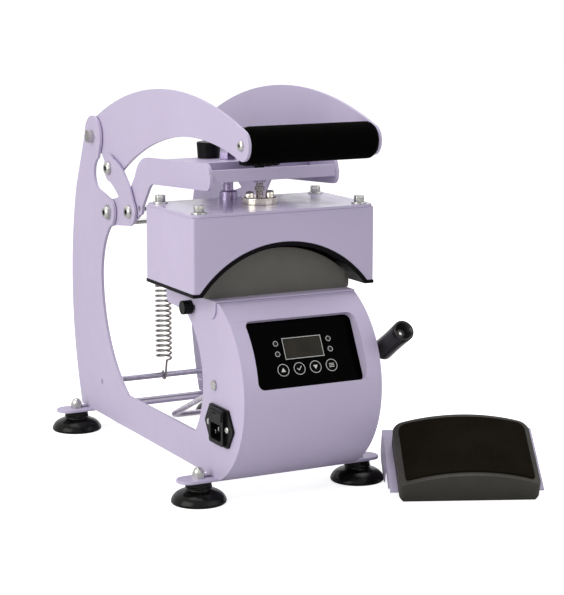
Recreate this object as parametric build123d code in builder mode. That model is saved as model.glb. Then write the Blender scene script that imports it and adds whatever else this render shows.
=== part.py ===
from build123d import *
import os
from math import atan2, cos, degrees, hypot, radians, sin, sqrt

"""Cap heat press with a spare platen standing beside it.

Lengths are millimetres and angles are degrees.  The set stands on Z = 0 and faces -Y.
Places on the press are given from the press's own middle plane (X), the line of its
front feet (Y) and the bench (Z); press_x and press_y put that point in the set's frame.
"""

# ------------------------------------------------------------------ driving sizes
press_x = -70.83
press_y = -106.92

# Sheet metal and the layers it lies in, counted from the outside of the column inwards
column_width = 147.0
side_sheet = 3.0
arm_sheet = 3.0
layer_gap = 1.0
panel_sheet = 2.0
tab_sheet = 1.5
side_clearance = 0.3
running_clearance = 0.05

# Pivots of the linkage as (depth, height)
handle_pivot = (297.0, 327.0)
arm_pivot = (254.0, 250.0)
link_top = (251.0, 297.0)
link_bottom = (197.0, 257.0)
pivot_bolt_radius = 4.0
link_pin_radius = 3.5
link_pin_play = 3.5
screw_head_radius = 7.0
screw_head_height = 4.4

# Column: a crescent front, a lower beam and a rear post in one plate
column_top = 195.0
beam_bottom = 24.0
column_nose = -72.0
column_set_back = 41.4
beam_height = 36.0
beam_start = 15.0
beam_tail = 18.0
post_bulge = 23.5
post_bulge_height = 147.0
post_shoulder_offset = (50.0, -59.0)
post_inner_top = (16.0, -40.0)
post_inner_waist = (23.0, -74.0)
post_inner_low = (-81.0, 53.0)
post_inner_foot = 133.0
handle_lobe_radius = 22.0
arm_lug_radius = 15.0
ear_height = 17.0
ear_rear = 104.0
column_waist_offset = (-4.0, -5.5)
column_neck_offset = (35.0, -19.0)

# Feet
foot_bar_overhang = 22.5
foot_bar_width = 25.0
foot_bar_sheet = 3.0
front_foot_depth = 0.0
rear_foot_depth = 323.0
sucker_clearance = 14.0
sucker_radius = 27.0
sucker_neck_radius = 12.5
sucker_rim_height = 2.0
sucker_dome_height = 10.0
stud_radius = 3.0
cap_nut_radius = 6.5
cap_nut_hex = 5.6
cap_nut_dome = 5.2

# Rods
tie_rod_radius = 3.0
tie_rod_place = (280.0, 61.0)
spacer_rod_place = (179.0, 262.5)
tail_rod_place = (281.0, 234.0)

# Window and control panel, tilted back in the curved front
window_margin = 12.5
window_wall = 1.5
window_corner = 7.0
control_low_inset = 6.8
control_low_rise = 6.1
control_high_inset = 12.0
control_high_rise = 63.7
control_thickness = 3.0
lcd_size = (40.8, 20.4)
lcd_low_edge = 30.8
lcd_thickness = 1.2
key_radius = 6.0
key_pitch = 17.2
key_row = 20.6
key_travel = 0.4
key_depth = 1.6
key_clearance = 0.3
lamp_radius = 2.4
lamp_rows = (36.5, 46.8)
lamp_offset = 28.2
keypad_shift = 1.2
board_gap = 9.0
board_thickness = 1.6

# Mains inlet
inlet_offset = (-44.0, -31.0)
inlet_half_length = 31.0
inlet_half_height = 18.5
inlet_flange = 2.5
inlet_raise = 3.0
inlet_screw_pitch = 40.0
inlet_body_depth = 24.0
drawer_size = (26.0, 9.0)
drawer_depth = 18.0
drawer_raise = 10.5
socket_size = (23.0, 16.0)
socket_depth = 14.0
socket_drop = 5.5

# Clamp knobs
clamp_depth = 41.0
clamp_drop = 12.0
clamp_knob_radius = 6.8
clamp_knob_length = 9.5
clamp_screw_radius = 2.5

# Platens and the saddles they are bolted to
platen_front = 1.0
platen_depth = 87.0
platen_half_width = 81.0
platen_end_height = 7.2
spare_depth = 88.0
spare_half_width = 68.0
spare_end_height = 20.0
spare_apex_height = 33.0
pad_thickness = 2.0
pad_inset = 5.0
saddle_front = -15.0
saddle_rear = 74.0
tab_band_rear = 59.0
tab_band_drop = 10.5
tab_lobe_drop = 18.0
tab_lobe_rear = 26.0
tab_corner = 11.0
platen_front_corner = 10.0
platen_rear_corner = 4.0
pad_corner_ratio = 0.8
spare_lobe_drop = 33.0
spare_stand_off = 70.7
spare_near_depth = -116.5
spare_turn = -24.1

# Heater head
heater_inner_radius = 110.0
heater_thickness = 4.2
platen_gap = 1.3
head_half_width = 97.5
head_front = -12.8
head_rear = 98.0
head_seat_gap = 9.6
head_height = 72.4
head_sheet = 1.5
element_skirt = 3.4
top_sheet = 2.5
top_corner = 10.0
head_bolt_offset = (86.0, 45.0)
insulation_drop = 9.0
insulation_gap = 0.6
screw_depth = 42.6
flange_radius = 17.5
flange_height = 7.0
flange_screw_offset = 11.0
pressure_stud_radius = 3.5
pressure_collar_radius = 5.0
pressure_nut_radius = 7.0
pressure_knob_radius = 20.0
pressure_knob_rise = 76.0
guide_place = (-12.0, 88.0)
guide_boss_radius = 9.0
guide_shaft_radius = 5.0

# Upper arm
arm_front_depth = 19.0
arm_front_rise = 47.0
arm_chin_depth = 17.0
arm_chin_rise = 21.0
arm_nose_offset = (-11.5, -13.0)
arm_knee_front = (-37.0, 59.5)
arm_knee_middle = (-16.5, 51.0)
arm_knee_rear = (-7.0, 38.0)
arm_throat_rear = (-42.0, 28.0)
arm_throat_middle = (-47.5, 32.5)
arm_throat_front = (-57.0, 34.0)
cross_bar_front = 9.0
cross_bar_rise = 29.0
cross_bar_height = 12.0
cross_bar_reach = 62.0
cross_plate_front = 65.0
cross_plate_rear = 117.0
cross_plate_rise = 42.0
cross_plate_lip = 8.0
cross_sheet = 3.0
level_knob_place = (-24.0, 108.0)
level_knob_radius = 12.0
level_knob_height = 16.0

# Handle
handle_crown = (105.0, 388.5)
handle_inner_crown = (62.0, 345.5)
handle_under_offset = (-27.0, 0.0)
handle_end_radius = 20.0
grip_place = (-60.0, 347.5)
grip_end_radius = 14.5
grip_foam_radius = 17.5
grip_tube_radius = 12.5
grip_tube_wall = 2.0
link_end_radius = 14.0
link_outer_bulge = 22.0
link_inner_bulge = 7.0

# Tension lever
tension_offset = (-31.0, 5.5)
tension_shaft_radius = 5.0
tension_lever_gap = 13.5
tension_lever_radius = 4.0
tension_grip_radius = 10.5
tension_grip_start = (-48.0, 141.2)
tension_grip_end = (-89.0, 168.0)
bail_clearance = 10.5
bail_radius = 2.8
bail_corner = (126.0, 55.0)

# Counter spring
spring_radius = 9.3
spring_wire = 1.2
spring_low = 77.0
spring_high = 217.0

# ------------------------------------------------------------------ places worked out
side_outer = column_width / 2
side_inner = side_outer - side_sheet
column_half_height = (column_top - beam_bottom) / 2
column_radius = hypot(column_half_height, column_set_back)
column_centre = (column_nose + column_radius, beam_bottom + column_half_height)
arm_outer = side_inner - layer_gap
arm_inner = arm_outer - arm_sheet
beam_top = beam_bottom + beam_height
beam_front = column_centre[0] + beam_start
beam_rear = rear_foot_depth + beam_tail
sucker_offset = side_outer + sucker_clearance
foot_bar_length = 2 * (sucker_offset + foot_bar_overhang)
stud_top = beam_bottom + cap_nut_hex + cap_nut_dome / 2
foot_underside = beam_bottom - foot_bar_sheet
heater_outer_radius = heater_inner_radius + heater_thickness
saddle_base = column_top + side_clearance
platen_base = saddle_base + tab_sheet
tab_outer = side_outer + side_clearance + tab_sheet
spare_place = (tab_outer + spare_stand_off, spare_near_depth)
clamp_place = (clamp_depth, column_top - clamp_drop)
tension_lever_x = side_outer + tension_lever_gap
bail_half_width = side_inner - bail_clearance
window_half_width = side_inner - window_margin
pad_radius = heater_inner_radius - platen_gap
platen_radius = pad_radius - pad_thickness
arch_rise = sqrt(platen_radius**2 - platen_half_width**2)
heat_centre_height = platen_base + platen_end_height - arch_rise
head_bottom = column_top + head_seat_gap
head_top = head_bottom + head_height
head_lid = head_top + top_sheet
element_low = head_bottom - element_skirt
insulation_top = head_top - insulation_drop
pressure_knob_top = head_top + pressure_knob_rise
cross_bar_low = head_top + cross_bar_rise
cross_plate_top = head_top + cross_plate_rise
arm_front = (arm_front_depth, head_top + arm_front_rise)
arm_chin = (arm_chin_depth, head_top + arm_chin_rise)
link_hole_radius = link_pin_radius + link_pin_play
spare_tilt = degrees(atan2(spare_lobe_drop, spare_depth - tab_lobe_rear))


def across(x):
    """Plane square to X at x from the middle plane; sketches on it are (depth, height)."""
    return Plane(origin=(press_x + x, press_y, 0), x_dir=(0, 1, 0), z_dir=(1, 0, 0))


def facing(y):
    """Plane square to Y at depth y, looking at the front; sketches on it are (x, height)."""
    return Plane(origin=(press_x, press_y + y, 0), x_dir=(1, 0, 0), z_dir=(0, -1, 0))


def level(z):
    """Plane at height z; sketches on it are (x, depth)."""
    return Plane(origin=(press_x, press_y, z))


def layer_start(side, outer, sheet):
    """X where a sheet of one side's layer begins, so that extruding +X fills the layer."""
    return -outer if side == "left" else outer - sheet


def column_front(z):
    """Depth of the column's round front at height z."""
    return column_centre[0] - sqrt(column_radius**2 - (z - column_centre[1]) ** 2)


def shifted(point, dy, dz):
    """A (depth, height) place moved by dy and dz."""
    return (point[0] + dy, point[1] + dz)


inlet_centre = shifted(column_centre, *inlet_offset)
tension_place = shifted(column_centre, *tension_offset)
control_low_height = column_centre[1] + control_low_rise
control_high_height = column_centre[1] + control_high_rise
control_bottom = (column_front(control_low_height) + control_low_inset, control_low_height)
control_top = (column_front(control_high_height) + control_high_inset, control_high_height)
column_waist = shifted(column_centre, *column_waist_offset)
column_neck = (column_centre[0] + column_neck_offset[0], column_top + column_neck_offset[1])
post_belly = (beam_rear + post_bulge, post_bulge_height)
post_shoulder = shifted(handle_pivot, *post_shoulder_offset)

os.makedirs("parts", exist_ok=True)

# ------------------------------------------------------------------ side plates
for side in ("left", "right"):
    with BuildPart() as side_plate:
        with BuildSketch(across(layer_start(side, side_outer, side_sheet))):
            with BuildLine():
                front_top = (column_front(column_top), column_top)
                front_low = (column_front(beam_bottom), beam_bottom)
                front_mid = (column_centre[0] - column_radius, column_centre[1])
                ThreePointArc(front_top, front_mid, front_low)
                Line(front_low, (beam_rear, beam_bottom))
                ThreePointArc((beam_rear, beam_bottom), post_belly, post_shoulder)
                lobe_rear = shifted(handle_pivot, handle_lobe_radius - 0.5, 2)
                lobe_front = shifted(handle_pivot, 0.5 - handle_lobe_radius, -3)
                notch_top = shifted(handle_pivot, -15, -22)
                notch_low = shifted(arm_pivot, 30, 22)
                Polyline(post_shoulder, lobe_rear, lobe_front, notch_top)
                ThreePointArc(notch_top, shifted(notch_top, 12, -18), notch_low)
                lug_top = shifted(arm_pivot, -3, arm_lug_radius - 0.4)
                lug_low = shifted(arm_pivot, -3, 0.4 - arm_lug_radius)
                post_waist = shifted(arm_pivot, *post_inner_waist)
                post_foot = (beam_rear - post_inner_foot, beam_top)
                post_hollow = (beam_rear + post_inner_low[0], beam_top + post_inner_low[1])
                Polyline(notch_low, lug_top, lug_low)
                ThreePointArc(lug_low, shifted(arm_pivot, *post_inner_top), post_waist)
                ThreePointArc(post_waist, post_hollow, post_foot)
                Line(post_foot, (beam_front, beam_top))
                ThreePointArc((beam_front, beam_top), column_waist, column_neck)
                ear_low = (ear_rear - ear_height / 2, column_top - ear_height)
                ear_tip = (ear_rear, column_top - ear_height / 2)
                ear_high = (ear_rear - ear_height / 2, column_top)
                Line(column_neck, ear_low)
                ThreePointArc(ear_low, ear_tip, ear_high)
                Line(ear_high, front_top)
            make_face()
            with Locations(handle_pivot):
                Circle(handle_lobe_radius)
            with Locations(arm_pivot):
                Circle(arm_lug_radius)
            with Locations(handle_pivot, arm_pivot):
                Circle(pivot_bolt_radius, mode=Mode.SUBTRACT)
            with Locations(tie_rod_place):
                Circle(tie_rod_radius, mode=Mode.SUBTRACT)
            with Locations(tension_place):
                Circle(tension_shaft_radius + running_clearance, mode=Mode.SUBTRACT)
            with Locations(clamp_place):
                Circle(clamp_screw_radius + running_clearance, mode=Mode.SUBTRACT)
            if side == "left":
                with Locations(inlet_centre):
                    RectangleRounded(drawer_size[0] + 3, 2 * inlet_half_height - 4, 2, mode=Mode.SUBTRACT)
        extrude(amount=side_sheet)
    side_plate.part.label = f"{side}_side_plate"
    export_step(side_plate.part, f"parts/{side}_side_plate.step")

# ------------------------------------------------------------------ feet
with BuildPart() as foot_bars:
    with BuildSketch(level(foot_underside)):
        with Locations((0, front_foot_depth), (0, rear_foot_depth)):
            SlotOverall(foot_bar_length, foot_bar_width)
        for depth in (front_foot_depth, rear_foot_depth):
            with Locations((-sucker_offset, depth), (sucker_offset, depth)):
                Circle(stud_radius, mode=Mode.SUBTRACT)
    extrude(amount=foot_bar_sheet)
foot_bars.part.label = "foot_bars"
export_step(foot_bars.part, "parts/foot_bars.step")

foot_spots = [
    (x, depth)
    for depth in (front_foot_depth, rear_foot_depth)
    for x in (-sucker_offset, sucker_offset)
]

with BuildPart() as suction_feet:
    with BuildSketch(Plane.XZ) as sucker_profile:
        with BuildLine():
            rim_low = (sucker_radius - 1, 0)
            rim_out = (sucker_radius, sucker_rim_height)
            neck_low = (sucker_neck_radius, sucker_dome_height)
            flare = ((sucker_radius + sucker_neck_radius) / 2 - 2, sucker_dome_height * 0.45)
            Polyline((0, 3.5), (sucker_radius - 4, 0), rim_low, rim_out)
            ThreePointArc(rim_out, flare, neck_low)
            Polyline(
                neck_low,
                (sucker_neck_radius, foot_underside),
                (stud_radius, foot_underside),
                (stud_radius, stud_top),
                (0, stud_top),
                (0, 3.5),
            )
        make_face()
    sucker = revolve(axis=Axis.Z, mode=Mode.PRIVATE)
    with Locations(level(0)):
        with Locations(*foot_spots):
            add(sucker)
suction_feet.part.label = "suction_feet"
export_step(suction_feet.part, "parts/suction_feet.step")

with BuildPart() as foot_cap_nuts:
    with BuildSketch(level(beam_bottom)):
        with Locations(*foot_spots):
            RegularPolygon(cap_nut_radius, 6)
    extrude(amount=cap_nut_hex)
    with Locations(level(beam_bottom + cap_nut_hex)):
        with Locations(*foot_spots):
            Sphere(cap_nut_dome)
    with BuildSketch(level(beam_bottom)):
        with Locations(*foot_spots):
            Circle(stud_radius)
    extrude(amount=stud_top - beam_bottom, mode=Mode.SUBTRACT)
foot_cap_nuts.part.label = "foot_cap_nuts"
export_step(foot_cap_nuts.part, "parts/foot_cap_nuts.step")

# ------------------------------------------------------------------ lower tie rod
with BuildPart() as lower_tie_rod:
    with BuildSketch(across(-side_outer)):
        with Locations(tie_rod_place):
            Circle(tie_rod_radius)
    extrude(amount=column_width)
lower_tie_rod.part.label = "lower_tie_rod"
export_step(lower_tie_rod.part, "parts/lower_tie_rod.step")

# ------------------------------------------------------------------ curved front panel
control_rise = (control_top[0] - control_bottom[0], control_top[1] - control_bottom[1])
control_length = hypot(*control_rise)
control_up = (control_rise[0] / control_length, control_rise[1] / control_length)
control_in = (control_up[1], -control_up[0])


def control_plane(inward):
    """Plane of the control panel moved inward; sketches on it are (x, distance up the panel)."""
    return Plane(
        origin=(
            press_x,
            press_y + control_bottom[0] + control_in[0] * inward,
            control_bottom[1] + control_in[1] * inward,
        ),
        x_dir=(1, 0, 0),
        z_dir=(0, -control_in[0], -control_in[1]),
    )


control_back = control_thickness + window_wall
window_length = control_length + 3
with BuildPart() as front_panel:
    with BuildSketch(across(-side_inner)):
        with BuildLine():
            inner_radius = column_radius - panel_sheet
            inner_top_y = column_centre[0] - sqrt(inner_radius**2 - (column_top - column_centre[1]) ** 2)
            inner_low_y = column_centre[0] - sqrt(inner_radius**2 - (beam_bottom - column_centre[1]) ** 2)
            front_top = (column_front(column_top), column_top)
            front_low = (column_front(beam_bottom), beam_bottom)
            front_mid = (column_centre[0] - column_radius, column_centre[1])
            inner_mid = (column_centre[0] - inner_radius, column_centre[1])
            ThreePointArc(front_top, front_mid, front_low)
            Line(front_low, (inner_low_y, beam_bottom))
            ThreePointArc((inner_low_y, beam_bottom), inner_mid, (inner_top_y, column_top))
            Line((inner_top_y, column_top), front_top)
        make_face()
        with Locations((front_top[0] + 1, column_top - panel_sheet)):
            Rectangle(26, panel_sheet, align=(Align.MIN, Align.MIN))
    extrude(amount=2 * side_inner)
    with BuildSketch(control_plane(control_back)):
        RectangleRounded(
            2 * (window_half_width + window_wall),
            window_length + 2 * window_wall,
            window_corner + window_wall,
            align=(Align.CENTER, Align.MIN),
        )
    extrude(amount=60)
    with BuildSketch(across(-side_inner)):
        with Locations(column_centre):
            Circle(column_radius + 60)
            Circle(column_radius, mode=Mode.SUBTRACT)
    extrude(amount=2 * side_inner, mode=Mode.SUBTRACT)
    with BuildSketch(control_plane(control_back)):
        with Locations((0, window_wall)):
            RectangleRounded(
                2 * window_half_width, window_length, window_corner, align=(Align.CENTER, Align.MIN)
            )
    extrude(amount=80, mode=Mode.SUBTRACT)
front_panel.part.label = "front_panel"
export_step(front_panel.part, "parts/front_panel.step")

# ------------------------------------------------------------------ control panel
key_spots = [(keypad_shift + key_pitch * (index - 1.5), key_row) for index in range(4)]
lamp_spots = [
    (keypad_shift + side * lamp_offset, row) for side in (-1, 1) for row in lamp_rows
]
standoff_spots = [(-46.0, 8.0), (46.0, 8.0), (-46.0, 57.0), (46.0, 57.0)]

with BuildPart() as control_panel:
    with BuildSketch(control_plane(control_thickness)):
        with Locations((0, window_wall)):
            RectangleRounded(
                2 * window_half_width, window_length, window_corner, align=(Align.CENTER, Align.MIN)
            )
    extrude(amount=control_thickness)
    with BuildSketch(control_plane(0)):
        with Locations((keypad_shift, lcd_low_edge)):
            Rectangle(*lcd_size, align=(Align.CENTER, Align.MIN))
    extrude(amount=-lcd_thickness, mode=Mode.SUBTRACT)
    with BuildSketch(control_plane(0)):
        with Locations(*key_spots):
            Circle(key_radius + key_clearance)
        with Locations(*lamp_spots):
            Circle(lamp_radius)
    extrude(amount=-control_thickness, mode=Mode.SUBTRACT)
    with BuildSketch(control_plane(control_thickness)):
        with Locations(*standoff_spots):
            Circle(3.5)
    extrude(amount=-board_gap)
control_panel.part.label = "control_panel"
export_step(control_panel.part, "parts/control_panel.step")

with BuildPart() as lcd_window:
    with BuildSketch(control_plane(lcd_thickness)):
        with Locations((keypad_shift, lcd_low_edge)):
            Rectangle(*lcd_size, align=(Align.CENTER, Align.MIN))
    extrude(amount=lcd_thickness)
lcd_window.part.label = "lcd_window"
export_step(lcd_window.part, "parts/lcd_window.step")

with BuildPart() as indicator_lamps:
    with BuildSketch(control_plane(control_thickness)):
        with Locations(*lamp_spots):
            Circle(lamp_radius)
    extrude(amount=control_thickness + 0.3)
indicator_lamps.part.label = "indicator_lamps"
export_step(indicator_lamps.part, "parts/indicator_lamps.step")

for index, spot in enumerate(key_spots, start=1):
    with BuildPart() as key:
        with BuildSketch(control_plane(key_depth)):
            with Locations(spot):
                Circle(key_radius)
        extrude(amount=key_depth + key_travel)
        fillet(key.faces().sort_by(Axis.Y)[0].edges(), 0.3)
    key.part.label = f"key_{index}"
    export_step(key.part, f"parts/key_{index}.step")

with BuildPart() as control_board:
    with BuildSketch(control_plane(control_thickness + board_gap + board_thickness)):
        with Locations((0, 4)):
            Rectangle(2 * window_half_width - 15, control_length - 6, align=(Align.CENTER, Align.MIN))
    extrude(amount=board_thickness)
    with BuildSketch(control_plane(control_thickness + board_gap)):
        with Locations((keypad_shift, lcd_low_edge + lcd_size[1] / 2)):
            Rectangle(lcd_size[0] + 4, lcd_size[1])
    extrude(amount=5)
    with BuildSketch(control_plane(control_thickness + board_gap)):
        with Locations(*key_spots):
            Rectangle(6, 6)
    extrude(amount=board_gap + control_thickness - key_depth - key_travel - 0.3)
    with BuildSketch(control_plane(control_thickness + board_gap + board_thickness)):
        with Locations((-26, 20), (2, 20)):
            Rectangle(19, 16)
        with Locations((32, 38)):
            Rectangle(26, 28)
    extrude(amount=-14)
control_board.part.label = "control_board"
export_step(control_board.part, "parts/control_board.step")

# ------------------------------------------------------------------ rear cover and gland
cover_top = shifted(column_neck, -2, -4)
cover_knee = shifted(column_centre, 17, 24.5)
cover_low = shifted(column_centre, 17, 2.5)
cover_half_width = side_inner - 8
gland_place = (10.5 - cover_half_width, cover_knee[1] - 9)
gland_radius = 6.0
with BuildPart() as rear_cover:
    with BuildSketch(across(-cover_half_width)):
        with BuildLine():
            Polyline(shifted(cover_top, -10, 0), cover_top, cover_knee, cover_low, shifted(cover_low, -12, 0))
            offset(amount=tab_sheet, side=Side.LEFT)
        make_face()
    extrude(amount=2 * cover_half_width)
    with BuildSketch(across(-side_inner)):
        with Locations(shifted(cover_top, -10, -tab_sheet), shifted(cover_low, -12, 0)):
            Rectangle(8, tab_sheet, align=(Align.MIN, Align.MIN))
    extrude(amount=2 * side_inner)
rear_cover.part.label = "rear_cover"
export_step(rear_cover.part, "parts/rear_cover.step")

with BuildPart() as cable_gland:
    with BuildSketch(facing(cover_knee[0] + tab_sheet)):
        with Locations(gland_place):
            Circle(gland_radius)
            Circle(gland_radius / 2, mode=Mode.SUBTRACT)
    extrude(amount=-9)
cable_gland.part.label = "cable_gland"
export_step(cable_gland.part, "parts/cable_gland.step")

# ------------------------------------------------------------------ mains inlet
inlet_face = side_outer + inlet_flange + inlet_raise


def inlet_spot(dy, dz):
    """A place on the inlet, from its centre."""
    return (inlet_centre[0] + dy, inlet_centre[1] + dz)


with BuildPart() as inlet_body:
    with BuildSketch(across(-side_outer)):
        with BuildLine():
            Polyline(
                inlet_spot(-inlet_half_length, 0),
                inlet_spot(-inlet_half_length * 0.62, inlet_half_height),
                inlet_spot(inlet_half_length * 0.62, inlet_half_height),
                inlet_spot(inlet_half_length, 0),
                inlet_spot(inlet_half_length * 0.62, -inlet_half_height),
                inlet_spot(-inlet_half_length * 0.62, -inlet_half_height),
                close=True,
            )
        make_face()
    extrude(amount=-inlet_flange)
    fillet(inlet_body.edges().filter_by(Axis.X), 3)
    with BuildSketch(across(-side_outer - inlet_flange)):
        with Locations(inlet_centre):
            RectangleRounded(drawer_size[0] + 5, 2 * inlet_half_height - 2, 3)
    extrude(amount=-inlet_raise)
    with BuildSketch(across(-side_outer)):
        with Locations(inlet_centre):
            RectangleRounded(drawer_size[0] + 3, 2 * inlet_half_height - 4, 2)
    extrude(amount=inlet_body_depth)
    with BuildSketch(across(-inlet_face)):
        with Locations(inlet_spot(0, -socket_drop)):
            RectangleRounded(*socket_size, 3)
    extrude(amount=socket_depth, mode=Mode.SUBTRACT)
    with BuildSketch(across(-inlet_face)):
        with Locations(inlet_spot(0, drawer_raise)):
            Rectangle(drawer_size[0] + 0.3, drawer_size[1] + 0.3)
    extrude(amount=drawer_depth + 0.3, mode=Mode.SUBTRACT)
inlet_body.part.label = "inlet_body"
export_step(inlet_body.part, "parts/inlet_body.step")

with BuildPart() as inlet_pins:
    with BuildSketch(across(-inlet_face + socket_depth)):
        for across_socket, up_socket in ((-7, -1.5), (0, 2.5), (7, -1.5)):
            with Locations(inlet_spot(across_socket, up_socket - socket_drop)):
                Rectangle(2, 4)
    extrude(amount=-(socket_depth - 3))
inlet_pins.part.label = "inlet_pins"
export_step(inlet_pins.part, "parts/inlet_pins.step")

with BuildPart() as inlet_screws:
    with BuildSketch(across(-side_outer - inlet_flange)):
        for end in (-1, 1):
            with Locations(inlet_spot(end * inlet_screw_pitch / 2, 0)):
                Circle(3.2)
    extrude(amount=-1.8)
    fillet(inlet_screws.faces().sort_by(Axis.X)[:2].edges(), 1.2)
inlet_screws.part.label = "inlet_screws"
export_step(inlet_screws.part, "parts/inlet_screws.step")

with BuildPart() as fuse_drawer:
    with BuildSketch(across(-inlet_face + drawer_depth)):
        with Locations(inlet_spot(0, drawer_raise)):
            Rectangle(*drawer_size)
    extrude(amount=-(drawer_depth + 0.8))
    with BuildSketch(across(-inlet_face - 0.8)):
        with Locations(inlet_spot(0, drawer_raise + 2.5)):
            Rectangle(8, 1.6)
    extrude(amount=0.8, mode=Mode.SUBTRACT)
    with BuildSketch(across(-inlet_face + 3)):
        with Locations(inlet_spot(0, drawer_raise + drawer_size[1] / 2)):
            Rectangle(21, 11)
    extrude(amount=drawer_depth - 5, mode=Mode.SUBTRACT)
fuse_drawer.part.label = "fuse_drawer"
export_step(fuse_drawer.part, "parts/fuse_drawer.step")

# ------------------------------------------------------------------ pivot bolts in the plates
for bolt_name, pivot in (("arm_pivot_bolts", arm_pivot), ("handle_pivot_bolts", handle_pivot)):
    with BuildPart() as pivot_bolts:
        for side in (-1, 1):
            outside = across(side * side_outer)
            with BuildSketch(outside):
                with Locations(pivot):
                    if bolt_name == "handle_pivot_bolts":
                        RegularPolygon(screw_head_radius + 0.5, 6)
                    else:
                        Circle(screw_head_radius)
            extrude(amount=side * (screw_head_height + 1.5))
            with BuildSketch(outside):
                with Locations(pivot):
                    Circle(pivot_bolt_radius)
            extrude(amount=-side * (side_outer - arm_inner + 1))
            with BuildSketch(across(side * (arm_inner - 0.4))):
                with Locations(pivot):
                    Circle(screw_head_radius)
            extrude(amount=-side * 6)
    pivot_bolts.part.label = bolt_name
    export_step(pivot_bolts.part, f"parts/{bolt_name}.step")

# ------------------------------------------------------------------ upper arm plates
for side in ("left", "right"):
    with BuildPart() as arm_plate:
        with BuildSketch(across(layer_start(side, arm_outer, arm_sheet))) as arm_sketch:
            with BuildLine():
                knee_front = shifted(link_bottom, *arm_knee_front)
                knee_rear = shifted(link_bottom, *arm_knee_rear)
                heel = shifted(link_bottom, 10, 19)
                tail_low = shifted(tail_rod_place, 1, -7)
                belly = shifted(link_bottom, 8, -16)
                toe = shifted(link_bottom, -16, -3)
                throat_low = shifted(link_bottom, *arm_throat_rear)
                throat_front = shifted(link_bottom, *arm_throat_front)
                nose_high = shifted(arm_front, -10, -10)
                nose_low = shifted(arm_chin, -9, 10)
                ThreePointArc(nose_low, shifted(arm_front, *arm_nose_offset), nose_high)
                ThreePointArc(nose_high, shifted(arm_front, -6.5, -2.5), arm_front)
                Line(arm_front, knee_front)
                ThreePointArc(knee_front, shifted(link_bottom, *arm_knee_middle), knee_rear)
                Polyline(
                    knee_rear,
                    heel,
                    shifted(arm_pivot, -4, arm_lug_radius - 1),
                    shifted(arm_pivot, 8, 12),
                    shifted(tail_rod_place, 6, 5),
                    tail_low,
                    shifted(arm_pivot, -3, 1 - arm_lug_radius),
                    belly,
                    toe,
                    throat_low,
                )
                ThreePointArc(throat_low, shifted(link_bottom, *arm_throat_middle), throat_front)
                Line(throat_front, arm_chin)
                ThreePointArc(arm_chin, shifted(arm_chin, -6.5, 3), nose_low)
            make_face()
            with Locations(arm_pivot):
                Circle(arm_lug_radius - 1)
                Circle(pivot_bolt_radius + running_clearance, mode=Mode.SUBTRACT)
            with Locations(tail_rod_place):
                Circle(7)
                Circle(tie_rod_radius, mode=Mode.SUBTRACT)
            with Locations(spacer_rod_place):
                Circle(7)
                Circle(tie_rod_radius, mode=Mode.SUBTRACT)
            with Locations(link_bottom):
                Circle(link_hole_radius, mode=Mode.SUBTRACT)
        extrude(amount=arm_sheet)
    arm_plate.part.label = f"{side}_arm_plate"
    export_step(arm_plate.part, f"parts/{side}_arm_plate.step")

with BuildPart() as arm_rods:
    with BuildSketch(across(-arm_outer)):
        with Locations(spacer_rod_place, tail_rod_place):
            Circle(tie_rod_radius)
    extrude(amount=2 * arm_outer)
arm_rods.part.label = "arm_rods"
export_step(arm_rods.part, "parts/arm_rods.step")

nut_low = cross_bar_low - 5.5
with BuildPart() as front_cross_bar:
    with BuildSketch(across(-arm_inner)):
        with Locations((cross_bar_front, cross_bar_low)):
            Rectangle(cross_sheet, cross_bar_height, align=(Align.MIN, Align.MIN))
            Rectangle(cross_bar_reach - cross_bar_front, cross_sheet, align=(Align.MIN, Align.MIN))
    extrude(amount=2 * arm_inner)
    with BuildSketch(level(nut_low)):
        with Locations((0, screw_depth)):
            RegularPolygon(pressure_nut_radius, 6)
    extrude(amount=cross_bar_low - nut_low)
    with BuildSketch(level(nut_low)):
        with Locations((0, screw_depth)):
            Circle(pressure_stud_radius + running_clearance)
    extrude(amount=cross_bar_height, mode=Mode.SUBTRACT)
front_cross_bar.part.label = "front_cross_bar"
export_step(front_cross_bar.part, "parts/front_cross_bar.step")

level_screw_radius = 3.0
with BuildPart() as rear_cross_plate:
    with BuildSketch(across(-arm_inner)):
        with Locations((cross_plate_front, cross_plate_top)):
            Rectangle(cross_plate_rear - cross_plate_front, cross_sheet, align=(Align.MIN, Align.MAX))
            Rectangle(cross_sheet, cross_plate_lip, align=(Align.MIN, Align.MAX))
        with Locations((cross_plate_rear, cross_plate_top)):
            Rectangle(cross_sheet, cross_plate_lip, align=(Align.MAX, Align.MAX))
    extrude(amount=2 * arm_inner)
    with BuildSketch(level(cross_plate_top - cross_sheet)):
        with Locations(guide_place):
            Circle(guide_shaft_radius + running_clearance)
        with Locations(level_knob_place):
            Circle(level_screw_radius + running_clearance)
    extrude(amount=cross_sheet, mode=Mode.SUBTRACT)
rear_cross_plate.part.label = "rear_cross_plate"
export_step(rear_cross_plate.part, "parts/rear_cross_plate.step")

with BuildPart() as level_knob:
    with BuildSketch(level(cross_plate_top + 0.3)):
        with Locations(level_knob_place):
            Circle(level_knob_radius - 1)
    extrude(amount=level_knob_height, taper=-4)
    fillet(level_knob.edges().sort_by(Axis.Z)[-1], 1.5)
    with BuildSketch(level(cross_plate_top - 14)):
        with Locations(level_knob_place):
            Circle(level_screw_radius)
    extrude(amount=14.3)
level_knob.part.label = "level_knob"
export_step(level_knob.part, "parts/level_knob.step")

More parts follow.
